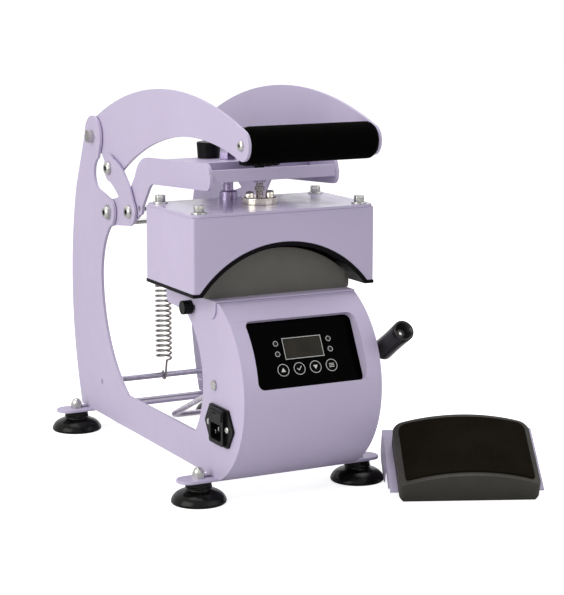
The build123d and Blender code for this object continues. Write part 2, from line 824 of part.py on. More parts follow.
# ------------------------------------------------------------------ handle
for side in ("left", "right"):
    with BuildPart() as handle_arm:
        with BuildSketch(across(layer_start(side, arm_outer, arm_sheet))):
            with BuildLine():
                crown_rear = shifted(handle_pivot, 2, handle_end_radius - 0.5)
                crown_front = shifted(grip_place, -4, grip_end_radius - 0.6)
                under_front = shifted(grip_place, 4, 0.6 - grip_end_radius)
                under_rear = shifted(link_top, *handle_under_offset)
                ThreePointArc(crown_rear, handle_crown, crown_front)
                Line(crown_front, under_front)
                ThreePointArc(under_front, handle_inner_crown, under_rear)
                Polyline(
                    under_rear,
                    shifted(link_top, -9, -10.5),
                    shifted(link_top, 12, -6),
                    shifted(handle_pivot, -14, -14),
                    shifted(handle_pivot, 14, -14),
                    crown_rear,
                )
            make_face()
            with Locations(handle_pivot):
                Circle(handle_end_radius)
                Circle(pivot_bolt_radius + running_clearance, mode=Mode.SUBTRACT)
            with Locations(link_top):
                Circle(link_end_radius - 0.5)
                Circle(pivot_bolt_radius, mode=Mode.SUBTRACT)
            with Locations(grip_place):
                Circle(grip_end_radius)
        extrude(amount=arm_sheet)
    handle_arm.part.label = f"{side}_handle_arm"
    export_step(handle_arm.part, f"parts/{side}_handle_arm.step")

with BuildPart() as grip_tube:
    with BuildSketch(across(-arm_inner)):
        with Locations(grip_place):
            Circle(grip_tube_radius)
            Circle(grip_tube_radius - grip_tube_wall, mode=Mode.SUBTRACT)
    extrude(amount=2 * arm_inner)
grip_tube.part.label = "grip_tube"
export_step(grip_tube.part, "parts/grip_tube.step")

with BuildPart() as grip_foam:
    with BuildSketch(across(-arm_inner)):
        with Locations(grip_place):
            Circle(grip_foam_radius)
    extrude(amount=2 * arm_inner)
    fillet(grip_foam.edges().filter_by(GeomType.CIRCLE), 3)
    with BuildSketch(across(-arm_inner)):
        with Locations(grip_place):
            Circle(grip_tube_radius)
    extrude(amount=2 * arm_inner, mode=Mode.SUBTRACT)
grip_foam.part.label = "grip_foam"
export_step(grip_foam.part, "parts/grip_foam.step")

with BuildPart() as grip_screws:
    for side in (-1, 1):
        with BuildSketch(across(side * arm_outer)):
            with Locations(grip_place):
                Circle(5)
        extrude(amount=side * 3)
grip_screws.part.label = "grip_screws"
export_step(grip_screws.part, "parts/grip_screws.step")

with BuildPart() as link_top_screws:
    for side in (-1, 1):
        with BuildSketch(across(side * (side_outer + 0.2))):
            with Locations(link_top):
                Circle(screw_head_radius)
        extrude(amount=side * screw_head_height)
        with BuildSketch(across(side * (side_outer + 0.2))):
            with Locations(link_top):
                Circle(pivot_bolt_radius)
        extrude(amount=-side * (side_outer + 0.2 - arm_inner))
link_top_screws.part.label = "link_top_screws"
export_step(link_top_screws.part, "parts/link_top_screws.step")

# ------------------------------------------------------------------ links
link_length = hypot(link_bottom[0] - link_top[0], link_bottom[1] - link_top[1])
link_run = ((link_bottom[0] - link_top[0]) / link_length, (link_bottom[1] - link_top[1]) / link_length)
link_normal = (link_run[1], -link_run[0])


def beside_link(place, distance):
    """A place on the link's line moved square to it, towards the link's rounded back."""
    return shifted(place, link_normal[0] * distance, link_normal[1] * distance)


link_middle = ((link_top[0] + link_bottom[0]) / 2, (link_top[1] + link_bottom[1]) / 2)
for side in ("left", "right"):
    with BuildPart() as link_plate:
        with BuildSketch(across(layer_start(side, side_outer, side_sheet))):
            with BuildLine():
                back_top = beside_link(link_top, link_end_radius)
                back_low = beside_link(link_bottom, link_end_radius)
                hollow_top = beside_link(link_top, -link_end_radius)
                hollow_low = beside_link(link_bottom, -link_end_radius)
                ThreePointArc(back_top, beside_link(link_middle, link_outer_bulge), back_low)
                Line(back_low, hollow_low)
                ThreePointArc(hollow_low, beside_link(link_middle, -link_inner_bulge), hollow_top)
                Line(hollow_top, back_top)
            make_face()
            with Locations(link_top, link_bottom):
                Circle(link_end_radius)
            with Locations(link_top):
                Circle(pivot_bolt_radius + running_clearance, mode=Mode.SUBTRACT)
            with Locations(link_bottom):
                Circle(link_pin_radius, mode=Mode.SUBTRACT)
        extrude(amount=side_sheet)
    link_plate.part.label = f"{side}_link"
    export_step(link_plate.part, f"parts/{side}_link.step")

with BuildPart() as link_pins:
    for side in (-1, 1):
        with BuildSketch(across(side * side_outer)):
            with Locations(link_bottom):
                Circle(screw_head_radius)
        extrude(amount=side * screw_head_height)
        with BuildSketch(across(side * side_outer)):
            with Locations(link_bottom):
                Circle(link_pin_radius)
        extrude(amount=-side * (side_outer - arm_inner + 1))
        with BuildSketch(across(side * (arm_inner - 0.5))):
            with Locations(link_bottom):
                Circle(link_hole_radius + 2)
        extrude(amount=-side * 1.5)
        with BuildSketch(across(side * (arm_inner - 2))):
            with Locations(link_bottom):
                RegularPolygon(7, 6)
        extrude(amount=-side * 5)
link_pins.part.label = "link_pins"
export_step(link_pins.part, "parts/link_pins.step")

# ------------------------------------------------------------------ heater head
head_middle = (head_front + head_rear) / 2
head_length = head_rear - head_front
with BuildPart() as box_shell:
    with BuildSketch(level(head_bottom)):
        with Locations((0, head_middle)):
            RectangleRounded(2 * head_half_width, head_length, 3)
            RectangleRounded(
                2 * (head_half_width - head_sheet), head_length - 2 * head_sheet, 1.5, mode=Mode.SUBTRACT
            )
    extrude(amount=head_top - head_bottom)
    with BuildSketch(facing(head_front)):
        with Locations((0, heat_centre_height)):
            Circle(heater_outer_radius)
    extrude(amount=-head_length, mode=Mode.SUBTRACT)
box_shell.part.label = "box_shell"
export_step(box_shell.part, "parts/box_shell.step")

with BuildPart() as heating_element:
    with BuildSketch(facing(head_front)):
        with Locations((0, heat_centre_height)):
            Circle(heater_outer_radius)
        with Locations((0, element_low)):
            Rectangle(2 * head_half_width, 60, align=(Align.CENTER, Align.MIN), mode=Mode.INTERSECT)
        with Locations((0, element_low)):
            Rectangle(2 * head_half_width, head_bottom - element_low, align=(Align.CENTER, Align.MIN))
        with Locations((0, heat_centre_height)):
            Circle(heater_inner_radius, mode=Mode.SUBTRACT)
    extrude(amount=-head_length)
heating_element.part.label = "heating_element"
export_step(heating_element.part, "parts/heating_element.step")

with BuildPart() as insulation:
    with BuildSketch(facing(head_front + head_sheet + insulation_gap)):
        with Locations((0, head_bottom)):
            Rectangle(
                2 * (head_half_width - head_sheet - insulation_gap),
                insulation_top - head_bottom,
                align=(Align.CENTER, Align.MIN),
            )
        with Locations((0, heat_centre_height)):
            Circle(heater_outer_radius, mode=Mode.SUBTRACT)
    extrude(amount=-(head_length - 2 * (head_sheet + insulation_gap)))
insulation.part.label = "insulation"
export_step(insulation.part, "parts/insulation.step")

with BuildPart() as box_top_plate:
    with BuildSketch(level(head_top)):
        with Locations((0, head_middle)):
            RectangleRounded(2 * head_half_width + 1, head_length + 1, top_corner)
        with Locations((0, screw_depth)):
            Circle(pressure_stud_radius + running_clearance, mode=Mode.SUBTRACT)
    extrude(amount=top_sheet)
box_top_plate.part.label = "box_top_plate"
export_step(box_top_plate.part, "parts/box_top_plate.step")

corner_bolts = [
    (x * head_bolt_offset[0], screw_depth + y * head_bolt_offset[1]) for x in (-1, 1) for y in (-1, 1)
]
flange_bolts = [(-flange_screw_offset, screw_depth), (flange_screw_offset, screw_depth)]
with BuildPart() as head_bolts:
    with BuildSketch(level(head_lid)):
        with Locations(*corner_bolts):
            Circle(7.5)
    extrude(amount=1.4)
    with BuildSketch(level(head_lid + 1.4)):
        with Locations(*corner_bolts):
            RegularPolygon(5.2, 6)
    extrude(amount=6.5)
    with BuildSketch(level(head_lid + flange_height)):
        with Locations(*flange_bolts):
            Circle(4.6)
            Circle(2.0, mode=Mode.SUBTRACT)
    extrude(amount=5)
head_bolts.part.label = "head_bolts"
export_step(head_bolts.part, "parts/head_bolts.step")

with BuildPart() as pressure_flange:
    with BuildSketch(level(head_lid)):
        with Locations((0, screw_depth)):
            Circle(flange_radius)
    extrude(amount=flange_height)
    chamfer(pressure_flange.edges().sort_by(Axis.Z)[-1], 0.8)
    with BuildSketch(level(head_lid)):
        with Locations((0, screw_depth)):
            Circle(pressure_stud_radius + running_clearance)
    extrude(amount=flange_height, mode=Mode.SUBTRACT)
pressure_flange.part.label = "pressure_flange"
export_step(pressure_flange.part, "parts/pressure_flange.step")

guide_head_low = cross_plate_top + 0.3
with BuildPart() as guide_post:
    with BuildSketch(level(head_lid)):
        with Locations(guide_place):
            Circle(guide_boss_radius)
    extrude(amount=8.5)
    chamfer(guide_post.edges().sort_by(Axis.Z)[-1], 1)
    with BuildSketch(level(head_lid)):
        with Locations(guide_place):
            Circle(guide_shaft_radius)
    extrude(amount=guide_head_low - head_lid)
    with BuildSketch(level(guide_head_low)):
        with Locations(guide_place):
            RegularPolygon(8.5, 6)
    extrude(amount=7)
guide_post.part.label = "guide_post"
export_step(guide_post.part, "parts/guide_post.step")

# ------------------------------------------------------------------ pressure screw and knob
knob_hub_low = cross_bar_low + cross_sheet + 0.5
knob_low = knob_hub_low + 8
with BuildPart() as pressure_screw:
    with BuildSketch(level(head_lid - 2)):
        with Locations((0, screw_depth)):
            Circle(pressure_stud_radius)
    extrude(amount=pressure_knob_top - 12 - head_lid + 2)
    with BuildSketch(level(nut_low - 8)):
        with Locations((0, screw_depth)):
            Circle(pressure_collar_radius)
    extrude(amount=3.3)
pressure_screw.part.label = "pressure_screw"
export_step(pressure_screw.part, "parts/pressure_screw.step")

with BuildPart() as pressure_knob:
    with BuildSketch(level(knob_hub_low)):
        with Locations((0, screw_depth)):
            Circle(pressure_collar_radius)
    extrude(amount=knob_low - knob_hub_low)
    with BuildSketch(level(knob_low)):
        with Locations((0, screw_depth)):
            Circle(pressure_knob_radius)
        with Locations((0, screw_depth)):
            with PolarLocations(pressure_knob_radius + 2, 10):
                Circle(4.5, mode=Mode.SUBTRACT)
    extrude(amount=pressure_knob_top - knob_low)
    with BuildSketch(level(knob_hub_low)):
        with Locations((0, screw_depth)):
            Circle(pressure_stud_radius)
    extrude(amount=pressure_knob_top - 12 - knob_hub_low, mode=Mode.SUBTRACT)
pressure_knob.part.label = "pressure_knob"
export_step(pressure_knob.part, "parts/pressure_knob.step")

# ------------------------------------------------------------------ tension lever
lever_run = (tension_grip_end[0] - tension_place[0], tension_grip_end[1] - tension_place[1])
lever_length = hypot(*lever_run)
lever_up = (lever_run[0] / lever_length, lever_run[1] / lever_length)
grip_length = hypot(tension_grip_end[0] - tension_grip_start[0], tension_grip_end[1] - tension_grip_start[1])


def along_lever(distance):
    """Plane square to the lever, at a distance from the shaft, centred on the lever."""
    return Plane(
        origin=(
            press_x + tension_lever_x,
            press_y + tension_place[0] + lever_up[0] * distance,
            tension_place[1] + lever_up[1] * distance,
        ),
        x_dir=(1, 0, 0),
        z_dir=(0, lever_up[0], lever_up[1]),
    )


with BuildPart() as tension_shaft:
    with BuildSketch(across(-side_outer - 2)):
        with Locations(tension_place):
            Circle(tension_shaft_radius)
    extrude(amount=side_outer + 2 + tension_lever_x + 8)
tension_shaft.part.label = "tension_shaft"
export_step(tension_shaft.part, "parts/tension_shaft.step")

lever_hub_start = side_outer + 1
with BuildPart() as tension_lever:
    with BuildSketch(across(lever_hub_start)):
        with Locations(tension_place):
            Circle(tension_shaft_radius + 3.5)
    extrude(amount=tension_lever_x + 8 - lever_hub_start)
    with BuildSketch(along_lever(0)):
        Circle(tension_lever_radius)
    extrude(amount=lever_length - 8)
    with BuildSketch(across(lever_hub_start)):
        with Locations(tension_place):
            Circle(tension_shaft_radius)
    extrude(amount=tension_lever_x + 8 - lever_hub_start, mode=Mode.SUBTRACT)
tension_lever.part.label = "tension_lever"
export_step(tension_lever.part, "parts/tension_lever.step")

with BuildPart() as lever_grip:
    with BuildSketch(along_lever(lever_length - grip_length)):
        Circle(tension_grip_radius)
    extrude(amount=grip_length)
    fillet(lever_grip.edges().filter_by(GeomType.CIRCLE), 2)
    with BuildSketch(along_lever(lever_length)):
        Circle(tension_lever_radius)
    extrude(amount=-grip_length, mode=Mode.SUBTRACT)
lever_grip.part.label = "lever_grip"
export_step(lever_grip.part, "parts/lever_grip.step")

bail_run = (bail_corner[0] - tension_place[0], bail_corner[1] - tension_place[1])
bail_length = hypot(*bail_run)
with BuildPart() as tension_bail:
    for side in (-1, 1):
        with BuildSketch(across(side * bail_half_width - 4)):
            with Locations(tension_place):
                Circle(tension_shaft_radius + 3)
        extrude(amount=8)
    with BuildLine():
        bail_points = [
            (press_x - bail_half_width, press_y + tension_place[0], tension_place[1]),
            (press_x - bail_half_width, press_y + bail_corner[0], bail_corner[1]),
            (press_x + bail_half_width, press_y + bail_corner[0], bail_corner[1]),
            (press_x + bail_half_width, press_y + tension_place[0], tension_place[1]),
        ]
        bail_path = FilletPolyline(*bail_points, radius=12)
    with BuildSketch(Plane(bail_path @ 0, z_dir=bail_path % 0)):
        Circle(bail_radius)
    sweep(path=bail_path)
    with BuildSketch(across(-side_inner)):
        with Locations(tension_place):
            Circle(tension_shaft_radius)
    extrude(amount=2 * side_inner, mode=Mode.SUBTRACT)
tension_bail.part.label = "tension_bail"
export_step(tension_bail.part, "parts/tension_bail.step")

# ------------------------------------------------------------------ counter spring
with BuildPart() as counter_spring:
    with BuildSketch(level(spring_low)):
        with Locations((0, tie_rod_place[0])):
            Circle(spring_radius)
            Circle(spring_radius - 2 * spring_wire, mode=Mode.SUBTRACT)
    extrude(amount=spring_high - spring_low)
    for end_height, rod in ((spring_low, tie_rod_place), (spring_high, tail_rod_place)):
        toward = 1 if rod[1] < end_height else -1
        bridge_low = end_height if toward > 0 else end_height - 2 * spring_wire
        with BuildSketch(level(bridge_low)):
            with Locations((0, tie_rod_place[0])):
                Rectangle(2 * spring_radius - spring_wire, 2 * spring_wire)
        extrude(amount=2 * spring_wire)
        hook_radius = tie_rod_radius + 0.4 + spring_wire
        with BuildSketch(across(0)):
            with Locations(rod):
                Circle(hook_radius + spring_wire)
                Circle(hook_radius - spring_wire, mode=Mode.SUBTRACT)
        extrude(amount=spring_wire, both=True)
        shank = abs(end_height - rod[1]) - hook_radius
        with BuildSketch(level(min(end_height, rod[1] + toward * hook_radius))):
            with Locations((0, tie_rod_place[0])):
                Rectangle(2 * spring_wire, 2 * spring_wire)
        extrude(amount=shank)
counter_spring.part.label = "counter_spring"
export_step(counter_spring.part, "parts/counter_spring.step")

# ------------------------------------------------------------------ clamp knobs
for side, sign in (("left", -1), ("right", 1)):
    with BuildPart() as clamp_knob:
        knob_face = tab_outer + 0.2
        with BuildSketch(across(sign * knob_face)):
            with Locations(clamp_place):
                Circle(clamp_knob_radius)
                with PolarLocations(clamp_knob_radius + 0.8, 12):
                    Circle(1.2, mode=Mode.SUBTRACT)
        extrude(amount=sign * clamp_knob_length)
        with BuildSketch(across(sign * knob_face)):
            with Locations(clamp_place):
                Circle(clamp_screw_radius)
        extrude(amount=-sign * (knob_face - side_inner + 3))
    clamp_knob.part.label = f"{side}_clamp_knob"
    export_step(clamp_knob.part, f"parts/{side}_clamp_knob.step")


# ------------------------------------------------------------------ platens
def square_to(seat, local_y):
    """Plane square to a platen's length, facing its front; sketches on it are (x, height)."""
    origin = seat.origin + seat.y_dir * local_y
    return Plane(origin=origin, x_dir=seat.x_dir, z_dir=-seat.y_dir)


def beside(seat, local_x):
    """Plane square to a platen's width; sketches on it are (length, height)."""
    origin = seat.origin + seat.x_dir * local_x
    return Plane(origin=origin, x_dir=seat.y_dir, z_dir=seat.x_dir)


def rounded_plan(seat, inset, half_width, depth, ratio):
    """Plan of a platen or its pad, with its front corners rounder than its rear ones."""
    with BuildSketch(seat) as plan:
        with Locations((0, inset)):
            Rectangle(2 * half_width, depth, align=(Align.CENTER, Align.MIN))
        corners = plan.vertices().sort_by(Axis.Y)
        fillet(corners[:2], platen_front_corner * ratio)
        corners = plan.vertices().sort_by(Axis.Y)
        fillet(corners[-2:], platen_rear_corner * ratio)
    return plan.sketch


def build_platen(prefix, seat, half_width, depth, arch_radius, arch_centre, lobe_drop):
    """Write the cast body, rubber pad and sheet saddle of one platen.

    seat lies under the body with its origin at the middle of the front bottom edge.
    arch_centre is the height of the arch's axis above the seat.
    """
    bevel = 4.0
    reach = 2.0
    with BuildPart() as platen_body:
        extrude(rounded_plan(seat, 0, half_width, depth, 1), amount=arch_centre + arch_radius + reach)
        with BuildSketch(square_to(seat, -reach)):
            with Locations((0, arch_centre)):
                Circle(arch_radius)
        extrude(amount=-(depth + 2 * reach), mode=Mode.INTERSECT)
        for side in (-1, 1):
            with BuildSketch(square_to(seat, -reach)):
                with BuildLine():
                    Polyline(
                        (side * (half_width - bevel - reach), -reach),
                        (side * (half_width + reach), bevel + reach),
                        (side * (half_width + reach), -reach),
                        close=True,
                    )
                make_face()
            extrude(amount=-(depth + 2 * reach), mode=Mode.SUBTRACT)
    platen_body.part.label = f"{prefix}platen_body"
    export_step(platen_body.part, f"parts/{prefix}platen_body.step")

    pad_half = half_width - pad_inset
    pad_depth = depth - 2 * pad_inset
    pad_radius = arch_radius + pad_thickness
    with BuildPart() as platen_pad:
        extrude(
            rounded_plan(seat.offset(arch_centre), pad_inset, pad_half, pad_depth, pad_corner_ratio),
            amount=pad_radius + reach,
        )
        with BuildSketch(square_to(seat, -reach)):
            with Locations((0, arch_centre)):
                Circle(pad_radius)
                Circle(arch_radius, mode=Mode.SUBTRACT)
        extrude(amount=-(depth + 2 * reach), mode=Mode.INTERSECT)
    platen_pad.part.label = f"{prefix}platen_pad"
    export_step(platen_pad.part, f"parts/{prefix}platen_pad.step")

    with BuildPart() as saddle:
        with BuildSketch(seat):
            with Locations((0, saddle_front)):
                Rectangle(2 * tab_outer, saddle_rear - saddle_front, align=(Align.CENTER, Align.MIN))
        extrude(amount=-tab_sheet)
        for start in (-tab_outer, tab_outer - tab_sheet):
            with BuildSketch(beside(seat, start)):
                with BuildLine():
                    corner_start = (saddle_front, tab_corner - lobe_drop)
                    corner_end = (saddle_front + tab_corner, -lobe_drop)
                    RadiusArc(corner_start, corner_end, -tab_corner)
                    Polyline(
                        corner_end,
                        (tab_lobe_rear, -lobe_drop),
                        (tab_lobe_rear, -tab_band_drop),
                        (tab_band_rear, -tab_band_drop),
                        (tab_band_rear, 0),
                        (saddle_front, 0),
                        corner_start,
                    )
                make_face()
            extrude(amount=tab_sheet)
    saddle.part.label = f"{prefix}platen_saddle"
    export_step(saddle.part, f"parts/{prefix}platen_saddle.step")


mounted_seat = Plane(origin=(press_x, press_y + platen_front, platen_base))
build_platen(
    "",
    mounted_seat,
    platen_half_width,
    platen_depth,
    platen_radius,
    heat_centre_height - platen_base,
    tab_lobe_drop,
)

turn = radians(spare_turn)
tilt = radians(spare_tilt)
near_edge = Vector(press_x + spare_place[0], press_y + spare_place[1], 0)
spare_across = Vector(cos(turn), sin(turn), 0)
spare_back = Vector(-sin(turn) * cos(tilt), cos(turn) * cos(tilt), sin(tilt))
spare_seat = Plane(
    origin=near_edge + spare_back * spare_depth,
    x_dir=spare_across * -1,
    z_dir=spare_across.cross(spare_back),
)
spare_rise = spare_apex_height - spare_end_height
spare_radius = (spare_half_width**2 + spare_rise**2) / (2 * spare_rise)
build_platen(
    "spare_",
    spare_seat,
    spare_half_width,
    spare_depth,
    spare_radius,
    spare_apex_height - spare_radius,
    spare_lobe_drop,
)
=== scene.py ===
"""Dressing of a cap heat press with a spare platen.

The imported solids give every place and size.  Each sub-assembly is a class that finishes
its own solids, builds the pieces that the solids only stand for, and puts them on the
body that they move with.  Lengths in the classes are millimetres unless a name says
otherwise; meshes are in metres, in the frame of the solids.
"""

from __future__ import annotations

import logging
import math
from dataclasses import dataclass
from enum import Enum
from typing import Iterable

import bmesh
import bpy
from mathutils import Matrix, Vector, noise
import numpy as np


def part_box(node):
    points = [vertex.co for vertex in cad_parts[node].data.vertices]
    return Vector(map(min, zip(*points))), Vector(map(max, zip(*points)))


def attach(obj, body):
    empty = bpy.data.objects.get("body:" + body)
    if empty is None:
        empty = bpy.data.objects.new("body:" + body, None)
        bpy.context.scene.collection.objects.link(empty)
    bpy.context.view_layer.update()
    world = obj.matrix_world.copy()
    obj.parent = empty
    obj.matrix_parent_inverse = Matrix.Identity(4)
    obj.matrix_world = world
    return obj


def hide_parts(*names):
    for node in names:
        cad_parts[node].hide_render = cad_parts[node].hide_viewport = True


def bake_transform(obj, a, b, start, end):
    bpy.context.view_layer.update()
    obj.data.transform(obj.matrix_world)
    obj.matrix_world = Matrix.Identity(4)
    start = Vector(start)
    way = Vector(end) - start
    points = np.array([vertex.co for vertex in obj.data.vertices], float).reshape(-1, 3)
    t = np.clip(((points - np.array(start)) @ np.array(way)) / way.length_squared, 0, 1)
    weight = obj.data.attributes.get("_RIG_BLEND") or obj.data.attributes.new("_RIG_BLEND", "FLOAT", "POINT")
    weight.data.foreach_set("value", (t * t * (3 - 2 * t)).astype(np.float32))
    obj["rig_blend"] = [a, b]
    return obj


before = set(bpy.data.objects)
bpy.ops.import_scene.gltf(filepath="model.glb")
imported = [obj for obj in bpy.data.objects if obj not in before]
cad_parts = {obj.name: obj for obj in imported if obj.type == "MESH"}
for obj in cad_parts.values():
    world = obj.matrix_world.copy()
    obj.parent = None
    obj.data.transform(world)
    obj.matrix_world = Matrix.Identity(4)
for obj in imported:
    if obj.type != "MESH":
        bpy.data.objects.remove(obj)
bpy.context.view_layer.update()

LOG = logging.getLogger("heat_press")
MM = 0.001
# Name of the mesh layer that marks where the plating gets painted shade, in screw sockets.
RECESS_SHADE_LAYER = "recess"
SHARP_ANGLE = 35.0
HEXAGON = 6

# Most of a noise pattern's values lie between these two.
PATTERN_LOW = 0.3
PATTERN_HIGH = 0.7
# Blender's wave texture runs through this many radians to the unit.
WAVE_RADIANS = 20.0

# Points closer than these are merged, in metres.
WELD_GAP = 0.00001
DOUBLE_GAP = 0.000005
SEAM_GAP = 0.000002

Colour = tuple[float, float, float]
Pair = tuple[float, float]


class Side(Enum):
    """The two sides of the press, with the sign of X that each lies on."""

    LEFT = -1
    RIGHT = 1


class Pattern(Enum):
    """The patterns that a surface is raised by."""

    NOISE = "noise"
    CELLS = "cells"


class KeyMark(Enum):
    """The marks printed on the keys, from left to right."""

    UP = "up"
    TICK = "tick"
    DOWN = "down"
    MENU = "menu"


# ---------------------------------------------------------------------------- finishes
class Graph:
    """A material's node tree with short ways to add and join nodes."""

    def __init__(self, name: str) -> None:
        """Start an empty tree with a Principled shader on its output.

        Args:
            name: Name of the material.
        """
        self.material = bpy.data.materials.new(name)
        self.material.use_nodes = True
        self.tree = self.material.node_tree
        self.tree.nodes.clear()
        self.shader = self.add("ShaderNodeBsdfPrincipled")
        output = self.add("ShaderNodeOutputMaterial")
        self.join(self.shader.outputs["BSDF"], output.inputs["Surface"])
        self.place = self.add("ShaderNodeTexCoord").outputs["Object"]

    def add(self, kind: str, **values: object) -> bpy.types.Node:
        """Add a node and set its sockets by name.

        Args:
            kind: Blender's type name of the node.
            **values: Socket values, with spaces in the name written as underscores.

        Returns:
            The new node.
        """
        node = self.tree.nodes.new(kind)
        for key, value in values.items():
            node.inputs[key.replace("_", " ")].default_value = value
        return node

    def join(self, start: bpy.types.NodeSocket, end: bpy.types.NodeSocket) -> None:
        """Link an output socket to an input socket."""
        self.tree.links.new(start, end)

    def noise(
        self,
        scale: float,
        detail: float = 2.0,
        stretch: Colour | None = None,
    ) -> bpy.types.NodeSocket:
        """Add a noise pattern on object coordinates.

        Args:
            scale: Cells to the metre.
            detail: Octaves of the pattern.
            stretch: Scale of each axis, for a drawn or brushed grain.

        Returns:
            The pattern's value socket.
        """
        node = self.add("ShaderNodeTexNoise", Scale=scale, Detail=detail)
        start = self.place
        if stretch is not None:
            mapping = self.add("ShaderNodeMapping", Scale=stretch)
            self.join(self.place, mapping.inputs["Vector"])
            start = mapping.outputs["Vector"]
        self.join(start, node.inputs["Vector"])
        return node.outputs["Fac"]

    def cells(self, scale: float) -> bpy.types.NodeSocket:
        """Add a pattern of rounded cells, and return its distance socket."""
        node = self.add("ShaderNodeTexVoronoi", Scale=scale)
        self.join(self.place, node.inputs["Vector"])
        return node.outputs["Distance"]

    def spread(
        self, source: bpy.types.NodeSocket, low: float, high: float
    ) -> bpy.types.NodeSocket:
        """Map a pattern's middle values to a range.

        Args:
            source: The pattern's value socket.
            low: Result where the pattern is low.
            high: Result where the pattern is high.

        Returns:
            The result socket.
        """
        node = self.add(
            "ShaderNodeMapRange",
            From_Min=PATTERN_LOW,
            From_Max=PATTERN_HIGH,
            To_Min=low,
            To_Max=high,
        )
        self.join(source, node.inputs["Value"])
        return node.outputs["Result"]

    def tint(self, source: bpy.types.NodeSocket, dark: Colour, light: Colour) -> None:
        """Colour the shader between two colours by a pattern.

        Args:
            source: The pattern's value socket.
            dark: Colour where the pattern is low.
            light: Colour where the pattern is high.
        """
        ramp = self.add("ShaderNodeValToRGB")
        stops = zip(ramp.color_ramp.elements, (PATTERN_LOW, PATTERN_HIGH), (dark, light))
        for stop, position, colour in stops:
            stop.position = position
            stop.color = (*colour, 1)
        self.join(source, ramp.inputs["Fac"])
        self.join(ramp.outputs["Color"], self.shader.inputs["Base Color"])

    def paint_shade(self, layer: str, shade: Colour) -> None:
        """Darken the shader's colour with painted shade where a layer of the mesh marks it.

        Args:
            layer: Name of the mesh's float layer, from 0 for no painted shade to 1 for full painted shade.
            shade: Colour of the painted shade.
        """
        # Painted shade: the marked layer mixes the base colour towards a dark colour.
        mark = self.tree.nodes.new("ShaderNodeAttribute")
        mark.attribute_name = layer
        mix = self.tree.nodes.new("ShaderNodeMix")
        mix.data_type = "RGBA"
        base = self.shader.inputs["Base Color"]
        self.join(mark.outputs["Fac"], mix.inputs["Factor"])
        self.join(base.links[0].from_socket, mix.inputs["A"])
        mix.inputs["B"].default_value = (*shade, 1)
        self.join(mix.outputs["Result"], base)

    def relief(self, source: bpy.types.NodeSocket, strength: float, depth: float) -> None:
        """Add bumps on top of those that the shader has.

        Args:
            source: The pattern's value socket.
            strength: Share of the relief that shows.
            depth: Height of the relief in metres.
        """
        bump = self.add("ShaderNodeBump", Strength=strength, Distance=depth)
        self.join(source, bump.inputs["Height"])
        before = self.shader.inputs["Normal"]
        if before.is_linked:
            self.join(before.links[0].from_socket, bump.inputs["Normal"])
        self.join(bump.outputs["Normal"], before)


@dataclass(frozen=True)
class Clouding:
    """How a colour wanders: cells to the metre, octaves and its two factors."""

    scale: float
    detail: float
    dark: float
    light: float


@dataclass(frozen=True)
class Sheen:
    """How a roughness wanders: cells to the metre, and how far down and up."""

    scale: float
    down: float
    up: float


@dataclass(frozen=True)
class Relief:
    """A layer of bumps: cells to the metre, octaves, share that shows, metres deep."""

    scale: float
    detail: float
    strength: float
    depth: float
    pattern: Pattern = Pattern.NOISE


@dataclass(frozen=True)
class Finish:
    """A plain finish that the particular ones build on."""

    name: str
    colour: Colour
    roughness: float
    slot: str
    specular: float = 0.5
    clouding: Clouding = Clouding(14.0, 2.0, 0.96, 1.03)
    sheen: Sheen | None = None
    reliefs: tuple[Relief, ...] = ()
    stretch: Colour | None = None

    def shaded(self, factor: float) -> Colour:
        """Return the colour made darker or lighter by a factor."""
        red, green, blue = (min(1.0, channel * factor) for channel in self.colour)
        return red, green, blue

    def roughness_range(self, sheen: Sheen) -> Pair:
        """Return the lowest and highest roughness of the finish."""
        return self.roughness - sheen.down, self.roughness + sheen.up

    def grain(self, graph: Graph) -> None:
        """Cloud the colour, vary the sheen and raise the surface."""
        cloud = self.clouding
        graph.tint(
            graph.noise(cloud.scale, cloud.detail),
            self.shaded(cloud.dark),
            self.shaded(cloud.light),
        )
        if self.sheen is not None:
            low, high = self.roughness_range(self.sheen)
            varied = graph.spread(graph.noise(self.sheen.scale), low, high)
            graph.join(varied, graph.shader.inputs["Roughness"])
        for layer in self.reliefs:
            if layer.pattern is Pattern.CELLS:
                source = graph.cells(layer.scale)
            else:
                source = graph.noise(layer.scale, layer.detail, self.stretch)
            graph.relief(source, layer.strength, layer.depth)

    def material(self) -> bpy.types.Material:
        """Return the finish's material, made on first use."""
        known = bpy.data.materials.get(self.name)
        if known is not None:
            return known
        graph = Graph(self.name)
        graph.shader.inputs["Base Color"].default_value = (*self.colour, 1)
        graph.shader.inputs["Roughness"].default_value = self.roughness
        graph.shader.inputs["Specular IOR Level"].default_value = self.specular
        self.grain(graph)
        return graph.material


@dataclass(frozen=True)
class PowderCoat(Finish):
    """Baked powder paint: even colour, a soft sheen and a fine orange-peel surface."""

    clouding: Clouding = Clouding(9.0, 3.0, 0.965, 1.02)
    sheen: Sheen | None = Sheen(60.0, 0.05, 0.06)
    reliefs: tuple[Relief, ...] = (
        Relief(650.0, 1.0, 0.16, 0.0004),
        Relief(2600.0, 1.0, 0.10, 0.00012),
    )


